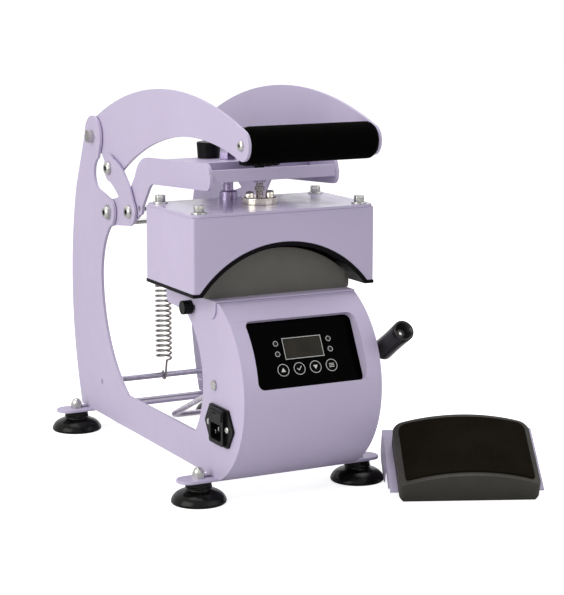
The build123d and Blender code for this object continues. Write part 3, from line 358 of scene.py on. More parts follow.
@dataclass(frozen=True)
class PlatedSteel(Finish):
    """Zinc, chrome or bare steel, with a drawn grain and cloudy plating.

    The sheen's steps are shares of the roughness here, and marked recesses get painted shade.
    """

    clouding: Clouding = Clouding(180.0, 3.0, 0.78, 1.08)
    sheen: Sheen | None = Sheen(420.0, 0.25, 0.35)
    reliefs: tuple[Relief, ...] = (Relief(700.0, 2.0, 0.12, 0.0001),)
    stretch: Colour | None = (1.0, 1.0, 8.0)
    # Factor of the colour in the painted shade of marked recesses.
    painted_recess_shade: float = 0.03

    def roughness_range(self, sheen: Sheen) -> Pair:
        """Return the lowest and highest roughness, by shares of its middle value."""
        return self.roughness * (1 - sheen.down), self.roughness * (1 + sheen.up)

    def grain(self, graph: Graph) -> None:
        """Set the metal and paint shade into its marked recesses."""
        graph.shader.inputs["Metallic"].default_value = 1.0
        super().grain(graph)
        graph.paint_shade(RECESS_SHADE_LAYER, self.shaded(self.painted_recess_shade))


@dataclass(frozen=True)
class ThreadedSteel(PlatedSteel):
    """Plated steel with the ridges of a screw thread along Z, spaced in millimetres."""

    ridge_spacing: float = 3.0
    ridge_strength: float = 0.9
    ridge_depth: float = 0.0006

    def grain(self, graph: Graph) -> None:
        """Add the thread's ridges to the plating."""
        super().grain(graph)
        scale = 2 * math.pi / (WAVE_RADIANS * self.ridge_spacing * MM)
        ridges = graph.add("ShaderNodeTexWave", Scale=scale)
        ridges.bands_direction = "Z"
        graph.join(graph.place, ridges.inputs["Vector"])
        graph.relief(ridges.outputs["Fac"], self.ridge_strength, self.ridge_depth)


@dataclass(frozen=True)
class Moulding(Finish):
    """Moulded plastic with a fine spark-eroded texture."""

    clouding: Clouding = Clouding(30.0, 2.0, 0.9, 1.1)
    sheen: Sheen | None = Sheen(150.0, 0.05, 0.07)
    reliefs: tuple[Relief, ...] = (Relief(2200.0, 2.0, 0.25, 0.00012),)


@dataclass(frozen=True)
class SpongeFoam(Finish):
    """Closed-cell foam rubber with visible small cells."""

    clouding: Clouding = Clouding(90.0, 4.0, 0.75, 1.3)
    reliefs: tuple[Relief, ...] = (
        Relief(1300.0, 0.0, 0.55, 0.0005, Pattern.CELLS),
        Relief(300.0, 3.0, 0.3, 0.0006),
    )


@dataclass(frozen=True)
class Wool(SpongeFoam):
    """Insulating wool: the foam's dull surface with coarser lumps."""

    reliefs: tuple[Relief, ...] = (
        Relief(500.0, 0.0, 0.55, 0.0005, Pattern.CELLS),
        Relief(300.0, 3.0, 0.3, 0.0006),
    )


@dataclass(frozen=True)
class PadSkin(Finish):
    """Heat-proof silicone sponge skin: a dull, pebbled sheet with a dusty bloom."""

    clouding: Clouding = Clouding(38.0, 6.0, 0.82, 1.28)
    sheen: Sheen | None = Sheen(500.0, 0.08, 0.08)
    reliefs: tuple[Relief, ...] = (
        Relief(1500.0, 0.0, 0.4, 0.0004, Pattern.CELLS),
        Relief(120.0, 4.0, 0.22, 0.0008),
    )


@dataclass(frozen=True)
class CastPaint(Finish):
    """Grey baked coating over a casting, with a dry, slightly uneven face."""

    clouding: Clouding = Clouding(24.0, 5.0, 0.88, 1.1)
    sheen: Sheen | None = Sheen(200.0, 0.06, 0.08)
    reliefs: tuple[Relief, ...] = (Relief(900.0, 3.0, 0.22, 0.0003),)


@dataclass(frozen=True)
class PolishedSheet(Finish):
    """A glossy moulded face with faint dust."""

    clouding: Clouding = Clouding(70.0, 6.0, 0.85, 1.2)
    sheen: Sheen | None = Sheen(900.0, 0.03, 0.05)
    reliefs: tuple[Relief, ...] = (Relief(45.0, 1.0, 0.05, 0.0003),)


LAVENDER = PowderCoat("lavender_powder_coat", (0.495, 0.44, 0.612), 0.42, "lavender")
ZINC = PlatedSteel("bright_zinc", (0.56, 0.56, 0.54), 0.24, "zinc")
CHROME = PlatedSteel("polished_chrome", (0.74, 0.69, 0.62), 0.14, "chrome")
GUIDE_STEEL = PlatedSteel("guide_post_steel", (0.40, 0.34, 0.52), 0.30, "zinc")
SPRING_STEEL = PlatedSteel("spring_steel", (0.34, 0.32, 0.29), 0.30, "zinc")
DRAWN_SIDEWAYS = (8.0, 1.0, 1.0)
TIE_STEEL = PlatedSteel(
    "dull_zinc_rod", (0.40, 0.37, 0.47), 0.42, "zinc", stretch=DRAWN_SIDEWAYS
)
ROD_STEEL = PlatedSteel(
    "plain_steel_rod", (0.66, 0.62, 0.70), 0.36, "bare_steel", stretch=DRAWN_SIDEWAYS
)
THREAD = ThreadedSteel("zinc_thread", (0.60, 0.57, 0.52), 0.26, "zinc")
BLACK_MOULDING = Moulding("black_moulding", (0.0032, 0.0032, 0.0036), 0.34, "black_plastic", 0.14)
SUCKER_RUBBER = PolishedSheet("sucker_rubber", (0.003, 0.0028, 0.0024), 0.20, "black_rubber", 0.16)
GRIP_FOAM = SpongeFoam("grip_foam_rubber", (0.0009, 0.0009, 0.0008), 0.85, "black_foam", 0.015)
LEVER_RUBBER = PolishedSheet("lever_rubber", (0.010, 0.009, 0.009), 0.20, "black_foam", 0.30)
PAD = PadSkin("platen_pad_skin", (0.0066, 0.0050, 0.0030), 0.80, "pad_rubber", 0.03)
PLATEN_GREY = CastPaint("platen_grey", (0.116, 0.111, 0.099), 0.46, "grey_cast", 0.3)
# The spare casting's grey is the mounted grey darkened by painted shade, for its face that tilts down.
SHADED_SPARE_GREY = CastPaint("spare_platen_painted_shade_grey", (0.042, 0.040, 0.035), 0.50, "grey_cast", 0.2)
SMOOTH_LAVENDER = PowderCoat("smooth_lavender_coat", (0.495, 0.44, 0.612), 0.20, "lavender", 0.6)
ELEMENT = CastPaint("non_stick_coating", (0.003, 0.0025, 0.0035), 0.36, "dark_element", 0.06)
PANEL_BLACK = PolishedSheet("panel_black", (0.0006, 0.0005, 0.0006), 0.12, "black_panel", 0.01)
DISPLAY = PolishedSheet("display_glass", (0.026, 0.023, 0.018), 0.10, "lcd", 0.06)
INK = Finish("white_ink", (0.62, 0.64, 0.62), 0.5, "lamp")
LAMP = PolishedSheet("lamp_lens", (0.012, 0.012, 0.012), 0.12, "lamp", 0.1)
KEY_CAP = PolishedSheet("key_cap", (0.0008, 0.0007, 0.0008), 0.2, "key", 0.02)
BOARD = Moulding("board_green", (0.03, 0.14, 0.05), 0.4, "board")
WOOL = Wool("insulating_wool", (0.55, 0.52, 0.46), 0.95, "wool")


# ---------------------------------------------------------------------------- making
@dataclass(frozen=True)
class Coating:
    """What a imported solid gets: a finish and softened edges.

    The edge is a radius in millimetres, or 0 for none, with some faces across it.
    """

    node: str
    finish: Finish
    edge: float = 0.35
    segments: int = 2

    def apply(self) -> None:
        """Give the solid its material and modifiers."""
        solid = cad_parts[self.node]
        solid.data.materials.clear()
        solid.data.materials.append(self.finish.material())
        for face in solid.data.polygons:
            face.use_smooth = True
        weld = solid.modifiers.new("weld", "WELD")
        weld.merge_threshold = WELD_GAP
        if self.edge > 0:
            bevel = solid.modifiers.new("edges", "BEVEL")
            bevel.width = self.edge * MM
            bevel.segments = self.segments
            bevel.limit_method = "ANGLE"
            bevel.angle_limit = math.radians(SHARP_ANGLE)
            bevel.miter_outer = "MITER_ARC"
        shading = solid.modifiers.new("shading", "WEIGHTED_NORMAL")
        shading.keep_sharp = True
        LOG.info("%s is finished", self.node)


def coat(coatings: Iterable[Coating]) -> None:
    """Apply several coatings in order."""
    for coating in coatings:
        coating.apply()


def new_piece(
    name: str,
    form: bmesh.types.BMesh,
    finish: Finish,
    body: str | None,
    stands_for: Iterable[str] = (),
    smooth: float = SHARP_ANGLE,
) -> bpy.types.Object:
    """Turn a finished bmesh into a piece that rides on a body.

    Args:
        name: Name of the piece.
        form: Its shape in the frame's metres; it is used up.
        finish: Its finish.
        body: The body that it moves with, or None where it is bent between two.
        stands_for: Nodes that it replaces.
        smooth: Angle in degrees under which edges shade smoothly.

    Returns:
        The piece.
    """
    bmesh.ops.remove_doubles(form, verts=form.verts, dist=DOUBLE_GAP)
    bmesh.ops.recalc_face_normals(form, faces=form.faces)
    for face in form.faces:
        face.smooth = True
    limit = math.radians(smooth)
    for edge in form.edges:
        edge.smooth = len(edge.link_faces) != 2 or edge.calc_face_angle(0.0) < limit
    mesh = bpy.data.meshes.new(name)
    form.to_mesh(mesh)
    form.free()
    piece = bpy.data.objects.new(name, mesh)
    bpy.context.scene.collection.objects.link(piece)
    mesh.materials.append(finish.material())
    if body is not None:
        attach(piece, body)
    nodes = tuple(stands_for)
    if nodes:
        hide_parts(*nodes)
    LOG.info("%s is made", name)
    return piece


def lathe(form: bmesh.types.BMesh, outline: list[Pair], steps: int, place: Matrix) -> None:
    """Turn an outline about its own Z axis and set it in place.

    Args:
        form: The bmesh that takes the shape.
        outline: Radius and height of each point, in millimetres, from bottom to top.
        steps: Faces round the shape.
        place: Where the shape goes, from its own millimetres to the frame's metres.
    """
    chain = [form.verts.new((radius, 0, height)) for radius, height in outline]
    links = [form.edges.new(pair) for pair in zip(chain, chain[1:])]
    turned = bmesh.ops.spin(
        form,
        geom=chain + links,
        cent=(0, 0, 0),
        axis=(0, 0, 1),
        angle=2 * math.pi,
        steps=steps,
        use_merge=True,
    )
    grown = connected(verts_in(turned["geom_last"]) + chain)
    bmesh.ops.transform(form, matrix=place, verts=grown)
    bmesh.ops.remove_doubles(form, verts=grown, dist=SEAM_GAP)


def connected(seeds: Iterable[bmesh.types.BMVert]) -> list[bmesh.types.BMVert]:
    """Return every vertex that edges join to the given ones, in a fixed order."""
    found = dict.fromkeys(seeds)
    waiting = list(found)
    while waiting:
        vertex = waiting.pop()
        for edge in vertex.link_edges:
            other = edge.other_vert(vertex)
            if other not in found:
                found[other] = None
                waiting.append(other)
    return list(found)


def edges_at(verts: Iterable[bmesh.types.BMVert]) -> list[bmesh.types.BMEdge]:
    """Return the edges at the given vertices, each once and in a fixed order."""
    return list(dict.fromkeys(edge for vertex in verts for edge in vertex.link_edges))


def verts_in(geom: Iterable[object]) -> list[bmesh.types.BMVert]:
    """Return the vertices among an operator's results."""
    return [item for item in geom if isinstance(item, bmesh.types.BMVert)]


def edges_in(geom: Iterable[object]) -> list[bmesh.types.BMEdge]:
    """Return the edges among an operator's results."""
    return [item for item in geom if isinstance(item, bmesh.types.BMEdge)]


def arc(centre: Pair, radius: float, start: float, end: float, steps: int) -> list[Pair]:
    """Return points on an arc of an outline.

    Args:
        centre: Radius and height of the arc's centre.
        radius: Its radius.
        start: Angle of its first point, in degrees from outwards.
        end: Angle of its last point.
        steps: Number of spans.

    Returns:
        The points in order.
    """
    angles = [math.radians(start + (end - start) * step / steps) for step in range(steps + 1)]
    return [(centre[0] + radius * math.cos(a), centre[1] + radius * math.sin(a)) for a in angles]


def prism(
    form: bmesh.types.BMesh,
    radius: float,
    sides: int,
    height: float,
    chamfer: float,
    place: Matrix,
) -> None:
    """Add an upright prism with broken edges.

    Args:
        form: The bmesh that takes the shape.
        radius: Radius to its corners, in millimetres.
        sides: Number of sides.
        height: Height along its own Z.
        chamfer: Size of the broken edges.
        place: Where the shape goes, from its own millimetres to the frame's metres.
    """
    base = bmesh.ops.create_circle(form, cap_ends=True, segments=sides, radius=radius)["verts"]
    face = base[0].link_faces[0]
    raised = bmesh.ops.extrude_face_region(form, geom=[face])["geom"]
    bmesh.ops.translate(form, vec=(0, 0, height), verts=verts_in(raised))
    bevelled = bmesh.ops.bevel(
        form,
        geom=edges_at(connected(base)),
        offset=chamfer,
        segments=2,
        profile=0.5,
        affect="EDGES",
        material=-1,
        clamp_overlap=True,
    )
    grown = connected(bevelled["verts"])
    bmesh.ops.transform(form, matrix=place, verts=grown)


@dataclass(frozen=True)
class Bench:
    """Places on the press, from its middle plane, its front feet and the bench."""

    foot_bar_width: float = 25.0

    def at(self, x: float, y: float, z: float) -> Vector:
        """Return a place of the press, given in millimetres, in the frame's metres."""
        low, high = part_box("foot_bars")
        middle = (low.x + high.x) / 2
        return Vector((middle + x * MM, low.y + (self.foot_bar_width / 2 + y) * MM, z * MM))


BENCH = Bench()


def middle_of(node: str) -> Vector:
    """Return the middle of a node's box, in the frame's metres."""
    low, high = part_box(node)
    return (low + high) / 2


@dataclass(frozen=True)
class ButtonScrew:
    """A button-head socket screw that stands along its own Z, head up."""

    head_radius: float = 7.0
    head_height: float = 4.4
    socket_radius: float = 3.0
    socket_depth: float = 2.6
    shank_radius: float = 4.0
    shank_length: float = 8.0
    washer_radius: float = 0.0
    washer_height: float = 1.2
    mouth_margin: float = 1.1
    rim_height: float = 0.5
    socket_lip: float = 0.3
    dome_angles: Pair = (8.0, 86.0)
    dome_spans: int = 7
    steps: int = 40

    def build(self, form: bmesh.types.BMesh, place: Matrix) -> None:
        """Add the screw to a bmesh.

        Args:
            form: The bmesh that takes the screw.
            place: Where the seat of its head goes.
        """
        # This layer marks where the plating gets painted shade.
        if RECESS_SHADE_LAYER not in form.verts.layers.float:
            form.verts.layers.float.new(RECESS_SHADE_LAYER)
        lift = self.washer_height if self.washer_radius > 0 else 0.0
        mouth = self.socket_radius + self.mouth_margin
        dome_radius = self.head_radius - mouth
        outline = [(0.0, -self.shank_length), (self.shank_radius, -self.shank_length)]
        if lift > 0:
            outline += [
                (self.shank_radius, 0.0),
                (self.washer_radius, 0.0),
                (self.washer_radius, lift),
                (self.head_radius, lift),
            ]
        else:
            outline += [(self.shank_radius, 0.0), (self.head_radius, 0.0)]
        dome = arc((0, 0), 1.0, *self.dome_angles, self.dome_spans)
        foot = lift + self.rim_height
        rise = self.head_height - self.rim_height
        outline += [(mouth + dome_radius * across, foot + rise * up) for across, up in dome]
        lathe(form, outline, self.steps, place)
        self._socket(form, place, lift + self.head_height)

    def _socket(self, form: bmesh.types.BMesh, place: Matrix, top: float) -> None:
        """Sink the six-sided socket into the open top of the head and mark its floor for painted shade."""
        rim = [edge for edge in form.edges if len(edge.link_faces) == 1]
        hexagon = bmesh.ops.create_circle(form, segments=HEXAGON, radius=self.socket_radius)["verts"]
        bmesh.ops.translate(form, vec=(0, 0, top - self.socket_lip), verts=hexagon)
        bmesh.ops.transform(form, matrix=place, verts=hexagon)
        mouth = edges_at(hexagon)
        bmesh.ops.bridge_loops(form, edges=rim + mouth)
        sunk = bmesh.ops.extrude_edge_only(form, edges=mouth)["geom"]
        floor = verts_in(sunk)
        down = place.to_3x3() @ Vector((0, 0, -self.socket_depth))
        bmesh.ops.translate(form, vec=down, verts=floor)
        opening = [edge for edge in edges_in(sunk) if len(edge.link_faces) == 1]
        bmesh.ops.holes_fill(form, edges=opening, sides=HEXAGON)
        # The socket's floor gets painted shade from the plating's material.
        marks = form.verts.layers.float[RECESS_SHADE_LAYER]
        for vertex in floor:
            vertex[marks] = 1.0


@dataclass(frozen=True)
class HexBolt:
    """A hexagon head on a round washer, standing along its own Z."""

    across_corners: float = 10.4
    head_height: float = 6.5
    washer_radius: float = 7.5
    washer_height: float = 1.4
    washer_sides: int = 36
    washer_chamfer: float = 0.25
    head_chamfer: float = 0.5

    def build(self, form: bmesh.types.BMesh, place: Matrix) -> None:
        """Add the bolt and its washer to a bmesh at a place."""
        prism(
            form,
            self.washer_radius,
            self.washer_sides,
            self.washer_height,
            self.washer_chamfer,
            place,
        )
        raised = place @ Matrix.Translation((0, 0, self.washer_height))
        radius = self.across_corners / 2
        prism(form, radius, HEXAGON, self.head_height, self.head_chamfer, raised)


# ---------------------------------------------------------------------------- column
@dataclass
class Column:
    """The two side plates, the sheets between them, the rods and the nuts."""

    side_plates: tuple[str, ...] = ("left_side_plate", "right_side_plate")
    sheets: tuple[str, ...] = ("foot_bars", "front_panel", "rear_cover")
    plate_edge: float = 1.3
    sheet_edge: float = 0.7
    fittings: tuple[Coating, ...] = (
        Coating("foot_cap_nuts", ZINC, 0.3),
        Coating("lower_tie_rod", TIE_STEEL, 0.4),
        Coating("cable_gland", BLACK_MOULDING, 0.4),
    )

    def dress(self) -> None:
        """Finish the sheets, the rods and the nuts of the feet."""
        coat(Coating(name, LAVENDER, self.plate_edge, 4) for name in self.side_plates)
        coat(Coating(name, LAVENDER, self.sheet_edge, 3) for name in self.sheets)
        coat(self.fittings)


@dataclass
class SuctionFeet:
    """The four domed rubber suckers under the foot bars."""

    body: str = "frame"
    radius: float = 27.0
    neck_radius: float = 12.5
    stud_radius: float = 3.0
    steps: int = 72
    smooth: float = 40.0
    cup: tuple[Pair, ...] = ((0.0, 4.0), (12.0, 3.1), (21.0, 1.2), (24.6, 0.0), (26.2, 0.1))
    brim: tuple[Pair, ...] = ((26.8, 0.8), (27.0, 2.0), (26.7, 3.2), (26.0, 4.8))
    dome: tuple[Pair, ...] = ((24.7, 6.9), (22.8, 8.8), (20.4, 10.3), (17.6, 11.5), (14.6, 12.3))
    collar: tuple[Pair, ...] = (
        (13.3, 12.8),
        (12.6, 13.5),
        (12.5, 14.4),
        (13.1, 15.0),
        (13.1, 16.2),
        (12.5, 16.8),
    )

    def dress(self) -> None:
        """Turn the suckers that stand for their plain solids."""
        low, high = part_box("suction_feet")
        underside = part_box("foot_bars")[0].z / MM
        stem = [(self.neck_radius, underside), (self.stud_radius, underside)]
        stud = [(self.stud_radius, high.z / MM), (0.0, high.z / MM)]
        outline = list(self.cup + self.brim + self.dome + self.collar) + stem + stud
        form = bmesh.new()
        reach = self.radius * MM
        for x in (low.x + reach, high.x - reach):
            for y in (low.y + reach, high.y - reach):
                place = Matrix.Translation((x, y, 0)) @ Matrix.Scale(MM, 4)
                lathe(form, outline, self.steps, place)
        stands_for = ["suction_feet"]
        new_piece("rubber_suckers", form, SUCKER_RUBBER, self.body, stands_for, self.smooth)


@dataclass
class MainsInlet:
    """The inlet in the left side plate, with its fuse drawer."""

    fittings: tuple[Coating, ...] = (
        Coating("inlet_body", BLACK_MOULDING, 0.5),
        Coating("inlet_pins", ZINC, 0.2),
        Coating("inlet_screws", ZINC, 0.0),
        Coating("fuse_drawer", BLACK_MOULDING, 0.3),
    )

    def dress(self) -> None:
        """Finish the inlet's solids."""
        coat(self.fittings)


# ---------------------------------------------------------------------------- controls
@dataclass(frozen=True)
class Stroke:
    """A printed bar: its middle from the mark's middle, its size, and its turn in degrees."""

    x: float
    up: float
    length: float
    width: float
    turn: float = 0.0


@dataclass
class Controls:
    """The tilted control panel with its display, lamps and four keys."""

    body: str = "frame"
    low_edge: Pair = (-65.0, 115.6)
    high_edge: Pair = (-35.5, 173.2)
    shift: float = 1.2
    key_pitch: float = 17.2
    key_row: float = 20.6
    key_raise: float = 0.4
    ring_outer: float = 6.0
    ring_inner: float = 5.5
    ring_sink: float = 0.05
    ring_steps: int = 48
    lamp_rows: tuple[float, ...] = (36.5, 46.8)
    lamp_offset: float = 28.2
    lamp_inner: float = 2.15
    lamp_outer: float = 2.6
    lamp_raise: float = 0.5
    display_low: float = 30.8
    display_size: Pair = (40.8, 20.4)
    frame_width: float = 0.5
    frame_overrun: float = 0.8
    ink: float = 0.06
    arrow_radius: float = 2.7
    arrow_shift: float = 0.4
    tick: tuple[Stroke, ...] = (
        Stroke(-1.5, -0.5, 2.6, 0.7, -45),
        Stroke(0.8, 0.3, 4.8, 0.7, 52),
    )
    menu: tuple[Stroke, ...] = (
        Stroke(0.0, -1.5, 5.2, 0.6),
        Stroke(0.0, 0.0, 5.2, 0.6),
        Stroke(0.0, 1.5, 5.2, 0.6),
    )
    fittings: tuple[Coating, ...] = (
        Coating("control_panel", PANEL_BLACK, 0.2),
        Coating("lcd_window", DISPLAY, 0.0),
        Coating("indicator_lamps", LAMP, 0.2),
        Coating("control_board", BOARD, 0.0),
    )

    def sheet(self, x: float, up: float, lift: float) -> Matrix:
        """Return the place of a flat shape on the panel.

        Args:
            x: Distance from the panel's middle line.
            up: Distance up the panel from its low edge.
            lift: Height over the panel's face.

        Returns:
            The place, from the shape's own millimetres to the frame's metres.
        """
        run = self.high_edge[0] - self.low_edge[0]
        climb = self.high_edge[1] - self.low_edge[1]
        rise = Vector((0, run, climb)).normalized()
        out = Vector((1, 0, 0)).cross(rise)
        turn = Matrix((Vector((1, 0, 0)), rise, out)).transposed().to_4x4()
        corner = BENCH.at(0, self.low_edge[0], self.low_edge[1])
        spot = corner + (Vector((1, 0, 0)) * x + rise * up + out * lift) * MM
        return Matrix.Translation(spot) @ turn @ Matrix.Scale(MM, 4)

    def ring(self, form: bmesh.types.BMesh, outer: float, inner: float, place: Matrix) -> None:
        """Add a printed ring to a bmesh at a place."""
        outside = bmesh.ops.create_circle(form, segments=self.ring_steps, radius=outer)["verts"]
        inside = bmesh.ops.create_circle(form, segments=self.ring_steps, radius=inner)["verts"]
        flat = bmesh.ops.bridge_loops(form, edges=edges_at(outside + inside))["faces"]
        self._thicken(form, flat, outside + inside, place)

    def _thicken(
        self,
        form: bmesh.types.BMesh,
        faces: list[bmesh.types.BMFace],
        verts: list[bmesh.types.BMVert],
        place: Matrix,
    ) -> None:
        """Give flat faces the ink's thickness and set them in place."""
        raised = bmesh.ops.extrude_face_region(form, geom=faces, use_keep_orig=True)["geom"]
        top = verts_in(raised)
        bmesh.ops.translate(form, vec=(0, 0, self.ink), verts=top)
        bmesh.ops.transform(form, matrix=place, verts=verts + top)

    def arrow(self, form: bmesh.types.BMesh, turn: float, place: Matrix) -> None:
        """Add a printed triangle.

        Args:
            form: The bmesh that takes the shape.
            turn: Its turn on the panel, in degrees; it points up at 0.
            place: Its place on the panel.
        """
        corners = bmesh.ops.create_circle(
            form, cap_ends=True, segments=3, radius=self.arrow_radius
        )["verts"]
        spin = Matrix.Rotation(math.radians(turn), 3, "Z")
        bmesh.ops.rotate(form, cent=(0, 0, 0), matrix=spin, verts=corners)
        self._thicken(form, [corners[0].link_faces[0]], corners, place)

    def bar(self, form: bmesh.types.BMesh, stroke: Stroke, place: Matrix) -> None:
        """Add a stroke's printed bar at a place, which holds the stroke's middle."""
        corners = bmesh.ops.create_grid(form, x_segments=1, y_segments=1, size=0.5)["verts"]
        bmesh.ops.scale(form, vec=(stroke.length, stroke.width, 1), verts=corners)
        spin = Matrix.Rotation(math.radians(stroke.turn), 3, "Z")
        bmesh.ops.rotate(form, cent=(0, 0, 0), matrix=spin, verts=corners)
        self._thicken(form, [corners[0].link_faces[0]], corners, place)

    def key_mark(self, form: bmesh.types.BMesh, mark: KeyMark, x: float, up: float) -> None:
        """Print one key's mark.

        Args:
            form: The bmesh that takes the mark.
            mark: Which mark it is.
            x: Distance of the key's middle from the panel's middle line.
            up: Distance of the key's middle up the panel.
        """
        if mark is KeyMark.UP:
            self.arrow(form, 0, self.sheet(x, up - self.arrow_shift, self.key_raise))
        elif mark is KeyMark.DOWN:
            self.arrow(form, 180, self.sheet(x, up + self.arrow_shift, self.key_raise))
        else:
            for stroke in self.tick if mark is KeyMark.TICK else self.menu:
                place = self.sheet(x + stroke.x, up + stroke.up, self.key_raise)
                self.bar(form, stroke, place)

    def display_marks(self) -> None:
        """Draw the printed frame round the display and the rings round the lamps."""
        wide, high = self.display_size
        middle = self.display_low + high / 2
        form = bmesh.new()
        level = Stroke(0.0, 0.0, wide + self.frame_overrun, self.frame_width)
        upright = Stroke(0.0, 0.0, high + self.frame_overrun, self.frame_width, 90)
        for sign in (-1, 1):
            self.bar(form, level, self.sheet(self.shift, middle + sign * high / 2, 0.0))
            self.bar(form, upright, self.sheet(self.shift + sign * wide / 2, middle, 0.0))
        for side in (-1, 1):
            for row in self.lamp_rows:
                spot = self.sheet(self.shift + side * self.lamp_offset, row, self.lamp_raise)
                self.ring(form, self.lamp_outer, self.lamp_inner, spot)
        new_piece("panel_print", form, INK, self.body)

    def dress(self) -> None:
        """Finish the panel and print its marks."""
        coat(self.fittings)
        self.display_marks()
        middle = (len(KeyMark) - 1) / 2
        for index, mark in enumerate(KeyMark):
            coat([Coating(f"key_{index + 1}", KEY_CAP, 0.0)])
            x = self.shift + self.key_pitch * (index - middle)
            form = bmesh.new()
            spot = self.sheet(x, self.key_row, self.key_raise - self.ring_sink)
            self.ring(form, self.ring_outer, self.ring_inner, spot)
            self.key_mark(form, mark, x, self.key_row)
            new_piece(f"key_print_{index + 1}", form, INK, f"button_{index + 1}")


# ---------------------------------------------------------------------------- linkage
@dataclass
class Linkage:
    """The swinging arm, the links and all the screws of the toggle."""

    plates: tuple[str, ...] = (
        "left_arm_plate",
        "right_arm_plate",
        "front_cross_bar",
        "rear_cross_plate",
        "left_handle_arm",
        "right_handle_arm",
        "left_link",
        "right_link",
    )
    plate_edge: float = 0.6
    fittings: tuple[Coating, ...] = (
        Coating("arm_rods", ZINC, 0.3),
        Coating("handle_pivot_bolts", ZINC, 0.5, 2),
    )
    top_screw: ButtonScrew = ButtonScrew(shank_length=7.5)
    pin_screw: ButtonScrew = ButtonScrew(shank_length=15.0, shank_radius=3.5)
    pivot_screw: ButtonScrew = ButtonScrew(
        shank_length=12.0, washer_radius=8.0, washer_height=1.5
    )
    grip_screw: ButtonScrew = ButtonScrew(
        head_radius=5.0,
        head_height=3.0,
        socket_radius=1.8,
        socket_depth=1.6,
        shank_radius=2.0,
    )

    def screws(self, name: str, node: str, body: str, screw: ButtonScrew) -> None:
        """Make the pair of screws that stands for a node.

        Args:
            name: Name of the piece.
            node: The node with one screw on each side.
            body: The body that it moves with.
            screw: The kind of screw.
        """
        low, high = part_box(node)
        spot = (low + high) / 2
        form = bmesh.new()
        for side, edge in ((Side.LEFT, low.x), (Side.RIGHT, high.x)):
            turn = Matrix.Rotation(math.radians(90 * side.value), 4, "Y")
            reach = screw.head_height + (screw.washer_height if screw.washer_radius > 0 else 0.0)
            seat = Vector((edge - side.value * reach * MM, spot.y, spot.z))
            screw.build(form, Matrix.Translation(seat) @ turn @ Matrix.Scale(MM, 4))
        new_piece(name, form, ZINC, body, [node])

    def dress(self) -> None:
        """Finish the plates and put in the screws."""
        coat(Coating(name, LAVENDER, self.plate_edge, 3) for name in self.plates)
        coat(self.fittings)
        self.screws("link_top_buttons", "link_top_screws", "handle", self.top_screw)
        self.screws("link_pin_buttons", "link_pins", "links", self.pin_screw)
        self.screws("arm_pivot_buttons", "arm_pivot_bolts", "frame", self.pivot_screw)
        self.screws("grip_buttons", "grip_screws", "handle", self.grip_screw)


@dataclass
class HandleGrip:
    """The foam sleeve on the cross tube of the handle."""

    body: str = "handle"
    end_round: float = 6.0
    end_spans: int = 8
    belly_spans: int = 24
    steps: int = 64
    ripple: float = 0.12
    ripple_scale: float = 90.0
    bore_margin: float = 1.05

    def dress(self) -> None:
        """Finish the tube and turn the foam sleeve."""
        coat([Coating("grip_tube", ROD_STEEL, 0.0)])
        low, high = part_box("grip_foam")
        length = (high.x - low.x) / MM
        radius = (high.z - low.z) / 2 / MM
        tube_low, tube_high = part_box("grip_tube")
        bore = (tube_high.z - tube_low.z) / 2 / MM
        turned = radius - self.end_round
        bottom = arc((turned, self.end_round), self.end_round, -90, 0, self.end_spans)
        top = arc((turned, length - self.end_round), self.end_round, 0, 90, self.end_spans)
        straight = length - 2 * self.end_round
        belly = [
            (radius, self.end_round + straight * step / self.belly_spans)
            for step in range(1, self.belly_spans)
        ]
        outline = [(bore, 0.0)] + bottom + belly + top + [(bore, length), (bore, 0.0)]
        form = bmesh.new()
        middle = (low + high) / 2
        turn = Matrix.Rotation(math.radians(90), 4, "Y")
        end = Vector((low.x, middle.y, middle.z))
        place = Matrix.Translation(end) @ turn @ Matrix.Scale(MM, 4)
        lathe(form, outline, self.steps, place)
        for vertex in form.verts:
            out = Vector((0, vertex.co.y - middle.y, vertex.co.z - middle.z))
            if out.length > bore * MM * self.bore_margin:
                dent = abs(noise.noise(vertex.co * self.ripple_scale))
                vertex.co -= out.normalized() * dent * self.ripple * MM
        sleeve = new_piece("grip_sleeve", form, GRIP_FOAM, self.body, ["grip_foam"])


